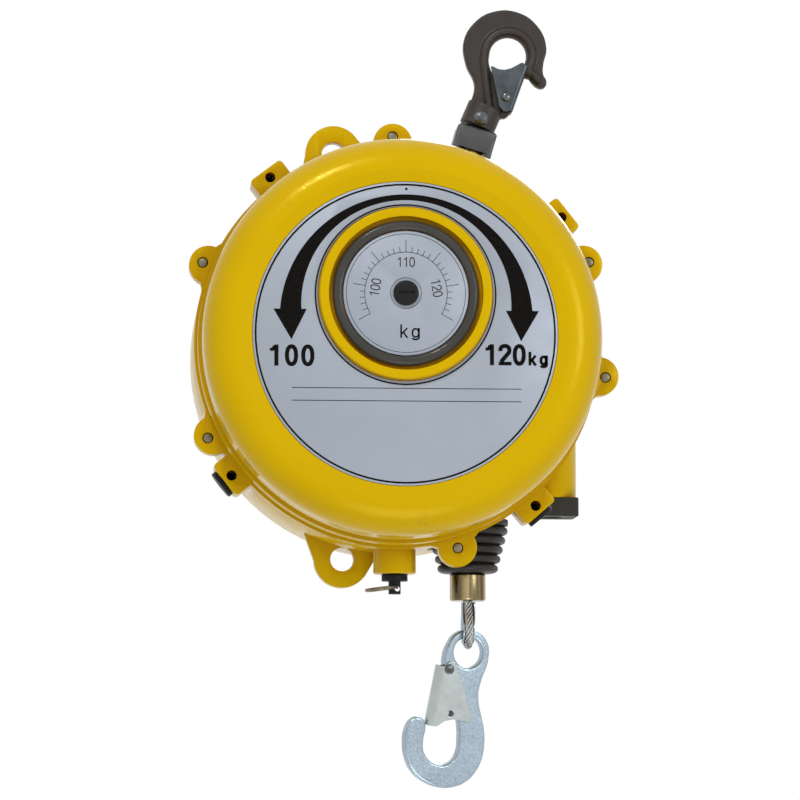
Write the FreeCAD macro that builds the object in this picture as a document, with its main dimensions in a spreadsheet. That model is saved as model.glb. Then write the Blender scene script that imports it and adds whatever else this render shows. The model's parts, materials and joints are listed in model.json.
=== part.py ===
import FreeCAD, Part
import Sketcher
import math
import os

# Spring balancer for hanging tools of about 100 to 120 kg.
# Build frame: X to the right, Z up, -Y towards the dial. Pieces are drawn about the drum's axis,
# about a hook's own pin, or about the lower hook's eye, and their Placement carries them into the
# part's frame, whose origin is where the upper hook bears on its support.

V = FreeCAD.Vector
doc = FreeCAD.newDocument("ToolBalancer")
sheet = doc.addObject("Spreadsheet::Sheet", "Sizes")

DRIVING = {
    # casing, measured from the drum's axis; "fore" is the distance in front of the rope's plane
    "casing_rad": (149.0, "outside radius of the rear casing"),
    "casing_wall": (6.0, "wall of the rear casing"),
    "cover_step": (4.7, "front cover's bulge inside the casing's radius"),
    "cover_wall": (5.3, "wall of the front cover"),
    "cover_round": (25.0, "rounding of the front cover's rim"),
    "face_fore": (116.0, "front face of the cover"),
    "face_wall": (6.0, "thickness of the cover's face"),
    "rim_rise": (2.6, "rim of the cover's face above its flat middle"),
    "parting_fore": (38.0, "joint between cover and casing"),
    "step_fore": (64.0, "step on the side of the cover"),
    "step_rise": (2.6, "height of that step"),
    "cover_flange": (6.0, "thickness of the cover's flange"),
    "back_aft": (78.0, "back face of the rear casing"),
    "back_round": (14.0, "rounding of the rear casing's edge"),
    "bearing_stand": (6.0, "rear bearing boss above the back face"),
    "rib_wide": (6.0, "width of the back ribs"),
    # lugs and bosses on the flange
    "lug_stand": (6.0, "casing screws outside the casing's radius"),
    "lug_rad": (14.2, "radius of a screw lug"),
    "lug_inset": (4.5, "centre of a screw lug inside the screws' circle"),
    "lug_deep": (7.0, "thickness of a rear screw lug"),
    "bolt_rad": (3.6, "casing screw"),
    "bolt_head": (5.4, "casing screw head radius"),
    "bolt_head_tall": (5.0, "casing screw head height"),
    "boss_wide": (28.0, "width of a square boss"),
    "boss_stand": (12.5, "outer face of a square boss outside the casing's radius"),
    "boss_deep": (22.0, "depth of a square boss on the rear casing"),
    "boss_hole": (3.8, "radius of a square boss's through hole"),
    "plug_rad": (10.5, "radius of a boss plug's head"),
    "plug_proud": (3.5, "height of a boss plug's head"),
    "tie_hole": (8.8, "radius of a safety lug's hole"),
    "tie_rad": (21.0, "outside radius of a safety lug"),
    "tie_thick": (12.0, "thickness of a safety lug"),
    "tie_stand": (8.8, "safety lug holes outside the casing's radius"),
    "tie_fore": (14.0, "front face of the safety lugs, behind the hook plane"),
    # label and dial
    "label_rad": (109.5, "label plate radius"),
    "label_thick": (0.8, "label plate thickness"),
    "label_gap": (0.4, "gap round the label plate"),
    "lip_rad": (62.2, "outside radius of the lip round the dial"),
    "lip_bore": (55.4, "inside radius of that lip"),
    "lip_rise": (5.0, "height of that lip"),
    "bezel_rad": (52.5, "dial bezel outside radius"),
    "bezel_bore": (45.6, "dial bezel inside radius"),
    "bezel_tall": (5.2, "dial bezel height"),
    "disc_rad": (44.9, "dial disc radius"),
    "disc_thick": (1.6, "dial disc thickness"),
    "disc_stand": (1.2, "dial disc above the cover's face"),
    "hub_rad": (9.0, "dial hub radius"),
    "spindle_rad": (6.0, "dial spindle radius"),
    "gear_mod": (1.0, "module of the dial gears"),
    "dial_teeth": (43.0, "teeth of the dial gear"),
    "pinion_teeth": (14.0, "teeth of the shaft pinion"),
    "gear_wide": (6.0, "face width of the dial gears"),
    "gear_fore": (96.5, "back face of the dial gears"),
    # main shaft, worm wheel and worm
    "shaft_rad": (14.0, "main shaft radius"),
    "stub_rad": (5.0, "front stub of the main shaft"),
    "tail_rad": (13.0, "rear journal of the main shaft"),
    "run_gap": (0.05, "running clearance of a journal"),
    "bush_wall": (4.0, "wall of a bush"),
    "worm_mod": (3.0, "module of the worm drive"),
    "wheel_teeth": (75.0, "teeth of the worm wheel"),
    "wheel_aft": (49.0, "front face of the worm wheel"),
    "wheel_wide": (12.0, "face width of the worm wheel"),
    "worm_pitch_rad": (12.5, "pitch radius of the worm"),
    "worm_shaft": (8.0, "worm shaft radius"),
    "column_rad": (18.5, "worm column radius"),
    "column_low": (104.2, "bottom of the worm column below the axis"),
    "cap_side": (37.0, "side of the worm cap"),
    "cap_tall": (14.2, "height of the worm cap"),
    # spring case and drum
    "case_gap": (11.0, "spring case inside the casing's wall"),
    "case_wall": (4.0, "spring case wall"),
    "case_fore": (92.0, "front of the spring case"),
    "case_back_fore": (36.0, "back of the spring case"),
    "coil_turns": (8.0, "turns of the mainspring"),
    "coil_thick": (1.8, "mainspring strip thickness"),
    "drum_plate": (5.0, "drum plate that closes the spring case"),
    "skirt_rad": (101.0, "drum skirt behind its plate"),
    "lock_ring_rad": (114.0, "notched lock ring of the drum"),
    "lock_notch": (8.0, "depth of its notches"),
    "lock_count": (12.0, "number of its notches"),
    "rope_rad": (3.1, "wire rope radius"),
    "wind_large": (95.0, "rope radius at the drum's large end"),
    "wind_small": (55.5, "rope radius at the drum's small end, which is also the rope's line"),
    "wind_pitch": (8.0, "pitch of the rope on the drum"),
    "wind_turns": (5.0, "turns of rope on the drum"),
    "drum_rim": (66.0, "flange beside the drum's small end"),
    "drum_lip": (8.0, "flange of the drum's large end above the rope's middle"),
    # rope outlet, buffer and rope end
    "seat_deep": (24.5, "seat of the buffer inside the casing's radius"),
    "pocket_rad": (30.6, "pocket that holds the buffer"),
    "buffer_top_rad": (30.0, "buffer radius at its seat"),
    "buffer_low_rad": (21.8, "buffer radius at its foot"),
    "buffer_tall": (40.0, "height of the buffer"),
    "buffer_ribs": (5.0, "rings of the buffer"),
    "buffer_bore": (4.3, "hole through the buffer"),
    "guide_rad": (13.0, "rope guide radius"),
    "ferrule_rad": (13.3, "ferrule radius"),
    "ferrule_tall": (20.2, "ferrule height"),
    "loop_reach": (35.6, "rope loop below the ferrule, to the rope's lower edge"),
    "loop_rad": (12.0, "radius of the rope loop's bend"),
    "thimble_wall": (1.2, "thimble thickness"),
    "seat_gap": (0.3, "gap between seated pieces"),
    # drum lock
    "lock_fore": (14.0, "drum lock in front of the rope's plane"),
    "lock_boss_rad": (15.7, "drum lock boss radius"),
    "lock_boss_stand": (17.2, "foot of the drum lock boss outside the casing's radius"),
    "plunger_rad": (5.0, "lock plunger radius"),
    "knob_rad": (9.6, "lock knob radius"),
    "knob_tall": (4.6, "lock knob height"),
    "lock_travel": (9.0, "lock knob travel into its boss"),
    "ring_rad": (11.5, "split ring radius"),
    "ring_wire": (0.85, "split ring wire radius"),
    # hanger and upper hook
    "hanger_inset": (3.75, "hanger pin inside the casing's radius"),
    "hanger_bearing": (68.344, "direction of the hanger pin from the axis, in degrees"),
    "hanger_tilt": (16.3, "lean of the hanger block at rest"),
    "hanger_wide": (30.0, "width of the hanger block"),
    "hanger_tall": (34.0, "top of the hanger block above its pin"),
    "hanger_pin_rad": (6.0, "hanger pin radius"),
    "cheek_thick": (8.5, "hanger cheek thickness"),
    "pin_rise": (8.2, "cross pin above the hanger block"),
    "hook_tilt": (23.5, "lean of the upper hook at rest"),
    "collar_rad": (12.7, "upper hook collar radius"),
    "cross_pin_rad": (4.0, "cross pin radius"),
    "stud_rad": (6.0, "swivel stud radius"),
    "hook_thick": (15.0, "upper hook thickness"),
    "hook_rad": (31.5, "upper hook outside radius"),
    "hook_bowl": (14.25, "upper hook bowl radius"),
    "hook_rise": (54.1, "upper hook bowl above the cross pin"),
    "latch_sheet": (1.5, "latch sheet thickness"),
    "latch_pin_rad": (2.5, "latch pin radius"),
    # lower hook
    "eye_bore": (10.35, "lower hook eye radius"),
    "eye_rad": (16.9, "lower hook eye outside radius"),
    "low_thick": (9.0, "lower hook thickness"),
    "low_rad": (27.8, "lower hook outside radius"),
    "low_bowl": (11.6, "lower hook bowl radius"),
    "low_drop": (74.5, "lower hook bowl below its eye"),
    "low_tilt": (17.0, "lean of the lower hook at rest"),
    "low_yaw": (15.0, "turn of the lower hook about its length"),
    "chamfer": (1.5, "chamfer of the forgings"),
}

LUG_ANGLES = [157.3, 206.5, 286.5, 351.7, 24.0, 91.3]
BOSS_ANGLES = [38.4, 127.2, 218.5, 310.8]
PLUGGED_BOSSES = [218.5, 310.8]
LARGE_LUG = 286.5
TIE_LOW_ANGLE = 256.5
TIE_TOP_ANGLE = 106.0

for row, (alias, (number, note)) in enumerate(DRIVING.items(), start=1):
    sheet.set(f"A{row}", note)
    sheet.set(f"B{row}", str(number))
    sheet.setAlias(f"B{row}", alias)
doc.recompute()


class Size:
    """A length with the formula that gives it: its value now, and the sheet cells it hangs on."""

    def __init__(self, value, text):
        self.value = float(value)
        self.text = text

    def __float__(self):
        return self.value

    def __add__(self, other):
        other = as_size(other)
        return Size(self.value + other.value, f"({self.text} + {other.text})")

    def __sub__(self, other):
        other = as_size(other)
        return Size(self.value - other.value, f"({self.text} - {other.text})")

    def __mul__(self, other):
        other = as_size(other)
        return Size(self.value * other.value, f"({self.text} * {other.text})")

    def __truediv__(self, other):
        other = as_size(other)
        return Size(self.value / other.value, f"({self.text} / {other.text})")

    def __neg__(self):
        return Size(-self.value, f"(0 - {self.text})")

    __radd__ = __add__
    __rmul__ = __mul__

    def __rsub__(self, other):
        return as_size(other) - self


def as_size(number):
    """A plain number as a size with no cell behind it."""
    if isinstance(number, Size):
        return number
    return Size(number, f"{number:.6g}" if number >= 0 else f"(0 - {-number:.6g})")


class Cells:
    """Reads a driving size by its name."""

    def __getattr__(self, name):
        return Size(getattr(sheet, name), f"Sizes.{name}")


s = Cells()


def polar(radius, degrees):
    """The X and Z of a point at a radius and an angle round the drum's axis."""
    radius = as_size(radius)
    turn = math.radians(degrees)
    return (Size(radius.value * math.cos(turn), f"({radius.text} * cos({degrees} deg))"),
            Size(radius.value * math.sin(turn), f"({radius.text} * sin({degrees} deg))"))


# places that keep their clearance from the casing's rim
cover_rad = s.casing_rad - s.cover_step
case_rad = s.casing_rad - s.casing_wall - s.case_gap
lug_circle = s.casing_rad + s.lug_stand
boss_out = s.casing_rad + s.boss_stand
tie_reach = s.casing_rad + s.tie_stand
seat_low = s.casing_rad - s.seat_deep
buffer_low = seat_low + s.buffer_tall
lock_boss_low = s.casing_rad + s.lock_boss_stand
hanger_reach = s.casing_rad - s.hanger_inset
HANGER_ANGLE = float(s.hanger_bearing)
hanger_side, hanger_up = polar(hanger_reach, HANGER_ANGLE)

count = {"n": 0}


def fresh(kind, stem):
    """A new document object with a name of its own."""
    count["n"] += 1
    return doc.addObject(kind, f"{stem}_{count['n']}")


def bind(item, prop, size):
    item.setExpression(prop, as_size(size).text)


def move(item, place):
    """Bind an object's position to sizes."""
    for axis, size in zip("xyz", place):
        item.setExpression(f".Placement.Base.{axis}", as_size(size).text)


TURNS = {"X": FreeCAD.Rotation(V(0, 1, 0), 90), "Y": FreeCAD.Rotation(V(1, 0, 0), -90),
         "Z": FreeCAD.Rotation()}


def bar(radius, length, at, along="Y"):
    """A round bar from a point, running along +X, +Y or +Z."""
    item = fresh("Part::Cylinder", "Bar")
    item.Placement.Rotation = TURNS[along]
    bind(item, "Radius", radius)
    bind(item, "Height", length)
    move(item, at)
    return item


def block(low, high):
    """A box between two corners."""
    item = fresh("Part::Box", "Block")
    for prop, start, end in zip(("Length", "Width", "Height"), low, high):
        bind(item, prop, as_size(end) - start)
    move(item, low)
    return item


def outline(corners, plane):
    """A closed sketch through corners, each held by its two distances. Plane XZ or XY."""
    item = fresh("Sketcher::SketchObject", "Outline")
    if plane == "XZ":
        item.Placement = FreeCAD.Placement(V(), FreeCAD.Rotation(V(1, 0, 0), 90))
    points = [V(float(x), float(y), 0) for x, y in corners]
    for index, point in enumerate(points):
        item.addGeometry(Part.LineSegment(point, points[(index + 1) % len(points)]), False)
    for index, (x, y) in enumerate(corners):
        item.addConstraint(Sketcher.Constraint("Coincident", index, 2, (index + 1) % len(points), 1))
        for kind, size in (("DistanceX", x), ("DistanceY", y)):
            number = item.addConstraint(Sketcher.Constraint(kind, -1, 1, index, 1, float(size)))
            item.setExpression(f"Constraints[{number}]", as_size(size).text)
    return item


def turned(corners, axis="Y", at=(0, 0, 0)):
    """A turned solid: (radius, height) corners about the Y or the Z axis."""
    item = fresh("Part::Revolution", "Turned")
    item.Source = outline(corners, "XY" if axis == "Y" else "XZ")
    item.Axis = V(0, 1, 0) if axis == "Y" else V(0, 0, 1)
    item.Angle = 360
    item.Solid = True
    move(item, at)
    return item


def slab(corners, front, back):
    """A plate cut to an X-Z outline, from its front to its back."""
    item = fresh("Part::Extrusion", "Slab")
    item.Base = outline(corners, "XZ")
    item.DirMode = "Custom"
    item.Dir = V(0, 1, 0)
    item.Solid = True
    bind(item, "LengthFwd", as_size(back) - front)
    move(item, (0, front, 0))
    return item


def fused(*pieces):
    item = fresh("Part::MultiFuse", "Fused")
    item.Shapes = list(pieces)
    item.Refine = True
    return item


def cut(base, *tools):
    item = fresh("Part::Cut", "Cut")
    item.Base = base
    item.Tool = tools[0] if len(tools) == 1 else fused(*tools)
    return item


def common(first, second):
    item = fresh("Part::Common", "Common")
    item.Base = first
    item.Tool = second
    return item


def eased(base, size, wanted, kind="Part::Fillet"):
    """Round or chamfer the edges that a test picks."""
    doc.recompute()
    item = fresh(kind, "Eased")
    item.Base = base
    radius = float(size)
    item.Edges = [(number, radius, radius) for number, edge in enumerate(base.Shape.Edges, start=1)
                  if wanted(edge)]
    return item


def shaped(shape, label):
    """A piece whose form needs its own construction: gears, threads, springs and rope."""
    item = fresh("Part::Feature", label)
    item.Shape = shape
    return item


nodes = []


def finish(item, label, frame, at=(0, 0, 0)):
    """Name a finished sub-part and carry it from its own frame into the part's frame."""
    base = V(*(float(size) for size in at))
    item.Label = label
    for axis in "xyz":
        item.setExpression(f".Placement.Base.{axis}", None)
    item.Placement = frame.multiply(FreeCAD.Placement(base, FreeCAD.Rotation()))
    nodes.append(item)
    return item


# ---------------------------------------------------------------- frames of the main assemblies
def lean(degrees):
    return FreeCAD.Rotation(V(0, 1, 0), degrees)


hanger_turn = lean(float(s.hanger_tilt))
hook_turn = lean(float(s.hook_tilt))
hanger_local = V(float(hanger_side), 0, float(hanger_up))
cross_pin_local = hanger_local + hanger_turn.multVec(V(0, 0, float(s.hanger_tall + s.pin_rise)))
bowl_local = cross_pin_local + hook_turn.multVec(V(0, 0, float(s.hook_rise)))
bearing_local = bowl_local + V(0, 0, float(s.hook_bowl))

CASING = FreeCAD.Placement(V() - bearing_local, FreeCAD.Rotation())
HANGER = FreeCAD.Placement(hanger_local - bearing_local, hanger_turn)
HOOK = FreeCAD.Placement(cross_pin_local - bearing_local, hook_turn)

ferrule_top = -(buffer_low + s.seat_gap)
ferrule_foot = ferrule_top - s.ferrule_tall
loop_foot = ferrule_foot - s.loop_reach
loop_mid = loop_foot + s.rope_rad + s.loop_rad
loop_bar = s.rope_rad + s.thimble_wall
eye_reach = float(s.eye_bore - loop_bar - s.seat_gap * 2)
eye_hang = math.radians(10.7)
eye_local = V(float(s.wind_small) - eye_reach * math.sin(eye_hang), 0,
              float(loop_foot + s.rope_rad) - eye_reach * math.cos(eye_hang))
LOWER = FreeCAD.Placement(eye_local - bearing_local,
                          lean(float(s.low_tilt)).multiply(
                              FreeCAD.Rotation(V(0, 0, 1), float(s.low_yaw))))


# ---------------------------------------------------------------- casing
def screw_lug(angle, front, back):
    """A round lug for a casing screw, with flanks that run out into the rim."""
    inset = 0.5 if angle == LARGE_LUG else s.lug_inset
    x, z = polar(lug_circle - inset, angle)
    corners = []
    for stand, side in ((-5, -24), (3, -12.5), (3, 12.5), (-5, 24)):
        rim_x, rim_z = polar(s.casing_rad + stand, angle)
        dx, dz = polar(side, angle + 90)
        corners.append((rim_x + dx, rim_z + dz))
    return [bar(s.lug_rad, as_size(back) - front, (x, front, z)), slab(corners, front, back)]


def screw_lugs(front, back):
    return [piece for angle in LUG_ANGLES for piece in screw_lug(angle, front, back)]


def radial_block(angle, inner, outer, half, front, back):
    """A block that stands out along a radius of the casing."""
    corners = []
    for radius, side in ((inner, -half), (outer, -half), (outer, half), (inner, half)):
        x, z = polar(radius, angle)
        dx, dz = polar(side, angle + 90)
        corners.append((x + dx, z + dz))
    return slab(corners, front, back)


def square_bosses(front, back):
    """Square bosses with their two outer corners rounded."""
    reach = float(boss_out)

    def corner(edge):
        middle = edge.CenterOfMass
        return edge.BoundBox.YLength > 1 and math.hypot(middle.x, middle.z) > reach

    return [eased(radial_block(angle, cover_rad - 4, boss_out, s.boss_wide / 2, front, back), 3, corner)
            for angle in BOSS_ANGLES]


def flange_holes(front, back, bolt):
    """The bores of the screw lugs and of the square bosses."""
    screws = [bar(bolt, as_size(back) - front, (x, front, z))
              for x, z in (polar(lug_circle, angle) for angle in LUG_ANGLES)]
    ties = [bar(s.boss_hole, as_size(back) - front, (x, front, z))
            for x, z in (polar(lug_circle, angle) for angle in BOSS_ANGLES)]
    return screws + ties


dial_up = s.gear_mod * (s.dial_teeth + s.pinion_teeth) / 2
gear_front = -(s.gear_fore + s.gear_wide)
bush_deep = s.gear_wide


def front_cover():
    face, inner = -s.face_fore, cover_rad - s.cover_wall
    ceiling = face + s.face_wall
    crest = face - s.rim_rise
    shell = turned([(0, face), (s.label_rad + 3, face), (s.label_rad + 9, crest), (cover_rad, crest),
                    (cover_rad, -s.step_fore),
                    (cover_rad + s.step_rise, -s.step_fore),
                    (cover_rad + s.step_rise, -(s.parting_fore + s.cover_flange)),
                    (s.casing_rad, -(s.parting_fore + s.cover_flange)),
                    (s.casing_rad, -s.parting_fore), (inner, -s.parting_fore),
                    (inner, ceiling), (0, ceiling)])

    def rim(edge):
        box = edge.BoundBox
        outer = abs(box.YMax - float(crest)) < 0.1 and abs(box.XMax - float(cover_rad)) < 0.1
        return outer and box.YLength < 0.1

    def inner_rim(edge):
        box = edge.BoundBox
        return (abs(box.YMax - float(ceiling)) < 0.1 and box.YLength < 0.1
                and abs(box.XMax - float(inner)) < 0.1)

    shell = eased(shell, s.cover_round, rim)
    shell = eased(shell, s.cover_round - s.cover_wall, inner_rim)
    lip = bar(s.lip_rad, s.lip_rise + 1, (0, face - s.lip_rise, dial_up))
    lip = eased(lip, 1.8, lambda edge: edge.BoundBox.YMax < float(face) - 1 and edge.BoundBox.YLength < 0.1)
    shaft_boss = bar(s.stub_rad + s.bush_wall + 5, bush_deep + 1, (0, ceiling - 1, 0))
    dial_boss = bar(s.spindle_rad + 6, bush_deep + 1, (0, ceiling - 1, dial_up))
    flange_front = -(s.parting_fore + s.cover_flange)
    body = fused(shell, lip, shaft_boss, dial_boss,
                 *screw_lugs(flange_front, -s.parting_fore), *square_bosses(flange_front, -s.parting_fore))
    recess = cut(bar(s.label_rad + s.label_gap, s.label_thick, (0, face, 0)),
                 bar(s.lip_rad + s.label_gap, s.label_thick, (0, face, dial_up)))
    well = bar(s.lip_bore, s.lip_rise, (0, face - s.lip_rise, dial_up))
    hollow = bar(inner, 60, (0, -s.parting_fore - 60, 0))
    bush_bore = bar(s.stub_rad + s.bush_wall, bush_deep, (0, ceiling, 0))
    spindle_bore = bar(s.spindle_rad + s.run_gap, 30, (0, face - 10, dial_up))
    return finish(cut(body, recess, well, hollow, bush_bore, spindle_bore,
                      *flange_holes(flange_front, -s.parting_fore, s.bolt_rad + 0.4)),
                  "front_cover", CASING)


def tie_lug(angle, spread_low, spread_high):
    """A flat safety lug with flanks that run out to the casing's rim."""
    foot = s.casing_rad - 6
    corners = [polar(foot, angle - spread_low), polar(foot, angle + spread_high)]
    x, z = polar(tie_reach, angle)
    for side in (75, -75):
        dx, dz = polar(s.tie_rad, angle + side)
        corners.append((x + dx, z + dz))
    plate = fused(slab(corners, s.tie_fore, s.tie_fore + s.tie_thick),
                  bar(s.tie_rad, s.tie_thick, (x, s.tie_fore, z)))
    return cut(plate, bar(s.casing_rad - s.casing_wall / 2, s.tie_thick + 2, (0, s.tie_fore - 1, 0)))


def tie_hole(angle):
    x, z = polar(tie_reach, angle)
    return bar(s.tie_hole, s.tie_thick + 2, (x, s.tie_fore - 1, z))


worm_side = s.worm_mod * s.wheel_teeth / 2 + s.worm_pitch_rad
wheel_mid = s.wheel_aft + s.wheel_wide / 2


def hanger_slot(front, back):
    """The slot round the hanger block: close on two flanks, open where the casing tilts away from it."""
    close = s.hanger_wide / 2 + s.seat_gap
    wide = close + 5.7
    corners = []
    for side, up in ((close, 30), (close, 0), (wide, -1), (wide, -22), (-close, -22), (-close, -4),
                     (-wide, -3), (-wide, 30)):
        x, z = polar(side, -float(s.hanger_tilt))
        dx, dz = polar(up, 90 - float(s.hanger_tilt))
        corners.append((hanger_side + x + dx, hanger_up + z + dz))
    return slab(corners, front, back)


def rear_casing():
    front, back = -s.parting_fore, s.back_aft
    inner = s.casing_rad - s.casing_wall
    pot = turned([(0, back), (s.casing_rad, back), (s.casing_rad, front), (inner, front),
                  (inner, back - s.casing_wall), (0, back - s.casing_wall)])
    pot = eased(pot, s.back_round, lambda edge: edge.BoundBox.YMin > float(back) - 0.1
                and edge.BoundBox.XMax > float(s.casing_rad) - 0.1)
    bearing_rad = s.tail_rad + s.bush_wall + 9
    bearing = bar(bearing_rad, s.casing_wall + s.bearing_stand + 3,
                  (0, back - s.casing_wall - 3, 0))
    ribs = [radial_block(angle, bearing_rad - 3, s.casing_rad - s.back_round, s.rib_wide / 2,
                         back - 2, back + s.bearing_stand - 2) for angle in range(0, 360, 60)]
    whole = bar(s.casing_rad, back - front, (0, front, 0))
    # hanger seat: a box of cheeks let into the rim
    cheek_half = s.hanger_wide / 2 + s.seat_gap + 0.3
    seat = common(whole, radial_block(HANGER_ANGLE, 117, 160, 40, -(cheek_half + s.cheek_thick),
                                      cheek_half + s.cheek_thick))
    cheeks = bar(11, s.parting_fore + cheek_half + s.cheek_thick + 4, (hanger_side, front, hanger_up))
    # rope outlet: a round pocket let into the rim, under a seat for the rope guide
    outlet = common(bar(s.casing_rad, back - front, (0, front, 0)),
                    bar(s.pocket_rad + 4, 60, (s.wind_small, 0, -(seat_low + 40)), "Z"))
    outlet_trim = block((s.wind_small - 50, -(s.case_back_fore - s.drum_plate) + 0.5, -(seat_low + 60)),
                        (s.wind_small + 50, back, -(seat_low - 8)))
    outlet = common(outlet, outlet_trim)
    pocket = bar(s.pocket_rad, 60, (s.wind_small, 0, -(seat_low + 60)), "Z")
    guide_bore = bar(s.guide_rad + s.run_gap, 40, (s.wind_small, 0, -(seat_low + 1)), "Z")
    # worm column, with an inner bracket for the worm's upper end
    column = bar(s.column_rad, s.column_low - 46, (worm_side, wheel_mid, -s.column_low), "Z")
    column = eased(column, 6, lambda edge: edge.BoundBox.ZMin > -47 and edge.BoundBox.ZLength < 0.1,
                   "Part::Chamfer")
    bracket = common(bar(s.casing_rad - 1, back - front, (0, front, 0)),
                     block((worm_side - 7.4, wheel_mid - 14, 26), (worm_side + 40, back - 2, 38)))
    upper_bore = bar(s.worm_shaft - 2 + s.run_gap, 30, (worm_side, wheel_mid, 20), "Z")
    worm_bore = bar(s.worm_shaft + 1.2, 66, (worm_side, wheel_mid, -86), "Z")
    bush_bore = bar(s.worm_shaft + 3, 40, (worm_side, wheel_mid, -(s.column_low + 10)), "Z")
    # drum lock boss
    lock_tall = s.lock_boss_stand + s.casing_wall + 16.8
    lock = bar(s.lock_boss_rad, lock_tall, (0, -s.lock_fore, -lock_boss_low), "Z")
    lock = eased(lock, 1.5, lambda edge: edge.BoundBox.ZMax < -float(lock_boss_low) + 0.1)
    lock_bore = fused(bar(s.plunger_rad + 3, 80, (0, -s.lock_fore, -(lock_boss_low + 10)), "Z"),
                      bar(s.knob_rad + s.seat_gap, s.lock_travel + 13,
                          (0, -s.lock_fore, -(lock_boss_low + 10)), "Z"))
    body = fused(pot, bearing, *ribs, seat, cheeks, outlet, column, bracket, lock,
                 *screw_lugs(front, front + s.lug_deep), *square_bosses(front, front + s.boss_deep),
                 tie_lug(TIE_LOW_ANGLE, 15, 11), tie_lug(TIE_TOP_ANGLE, 13, 13))
    slot = hanger_slot(-cheek_half, cheek_half)
    tail_bore = bar(s.tail_rad + s.bush_wall, 40, (0, back - 20, 0))
    pin_bore = bar(s.hanger_pin_rad + 0.02, s.parting_fore + cheek_half + s.cheek_thick + s.seat_gap,
                   (hanger_side, front, hanger_up))
    plugs = [plug_socket(angle) for angle in PLUGGED_BOSSES]
    ties = [tie_hole(TIE_LOW_ANGLE), tie_hole(TIE_TOP_ANGLE)]
    return finish(cut(body, slot, pocket, guide_bore, upper_bore, worm_bore, bush_bore, lock_bore,
                      tail_bore, pin_bore, *plugs, *ties,
                      *flange_holes(front, front + s.boss_deep + 1, s.bolt_rad + 0.4)),
                  "rear_casing", CASING)


def radial_bar(angle, inner, outer, radius, y):
    """A round bar along a radius of the casing."""
    item = fresh("Part::Cylinder", "Radial")
    bind(item, "Radius", radius)
    bind(item, "Height", as_size(outer) - inner)
    x, z = polar(inner, angle)
    item.Placement.Rotation = FreeCAD.Rotation(V(0, 0, 1), V(math.cos(math.radians(angle)), 0,
                                                             math.sin(math.radians(angle))))
    move(item, (x, y, z))
    return item


plug_mid = -(s.parting_fore - s.boss_deep / 2)
plug_stem = s.plug_rad - 4


def plug_socket(angle):
    return radial_bar(angle, boss_out - 2, boss_out + 5, plug_stem + s.run_gap, plug_mid)


def boss_plugs():
    """Round plugs pressed into the outer faces of the two lower bosses."""
    pieces = []
    for angle in PLUGGED_BOSSES:
        pieces.append(radial_bar(angle, boss_out, boss_out + s.plug_proud, s.plug_rad, plug_mid))
        pieces.append(radial_bar(angle, boss_out - 1.8, boss_out + 1, plug_stem, plug_mid))
    finish(fused(*pieces), "boss_plugs", CASING)


def casing_bolts():
    """Six screws from the back, their ends just under the cover's lugs."""
    pieces = []
    start = -(s.parting_fore + s.cover_flange) + 0.8
    head = -s.parting_fore + s.lug_deep
    for angle in LUG_ANGLES:
        x, z = polar(lug_circle, angle)
        pieces.append(bar(s.bolt_rad, head - start + 1, (x, start, z)))
        pieces.append(bar(s.bolt_head, s.bolt_head_tall, (x, head, z)))
    screws = fused(*pieces)
    sockets = [bar(3, 5, (x, head + 2, z)) for x, z in (polar(lug_circle, a) for a in LUG_ANGLES)]
    finish(cut(screws, *sockets), "casing_bolts", CASING)


def label_plate():
    face = -s.face_fore
    plate = cut(bar(s.label_rad, s.label_thick, (0, face, 0)),
                bar(s.lip_rad + 2 * s.label_gap, s.label_thick + 2, (0, face - 1, dial_up)))
    finish(plate, "label_plate", CASING)


def bush(inner, outer, front, back, label, frame=None, axis="Y", at=(0, 0, 0)):
    """A plain bronze bush."""
    piece = turned([(inner, front), (outer, front), (outer, back), (inner, back)], axis)
    finish(piece, label, frame or CASING, at)


# ---------------------------------------------------------------- gears
def tooth_ring(teeth, module, thin, tip_cut=0.0):
    """The outline of a toothed ring with straight-flanked teeth; a tooth points along +X."""
    pitch = teeth * module / 2
    tip, root = pitch + module - tip_cut, pitch - 1.15 * module
    half = math.pi * module / 4 * thin / pitch
    points = []
    for tooth in range(int(teeth)):
        middle = 2 * math.pi * tooth / teeth
        for radius, angle in ((root, -1.6 * half), (tip, -0.55 * half), (tip, 0.55 * half),
                              (root, 1.6 * half)):
            points.append(V(radius * math.cos(middle + angle), 0, radius * math.sin(middle + angle)))
    return Part.Face(Part.makePolygon(points + [points[0]]))


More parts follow.
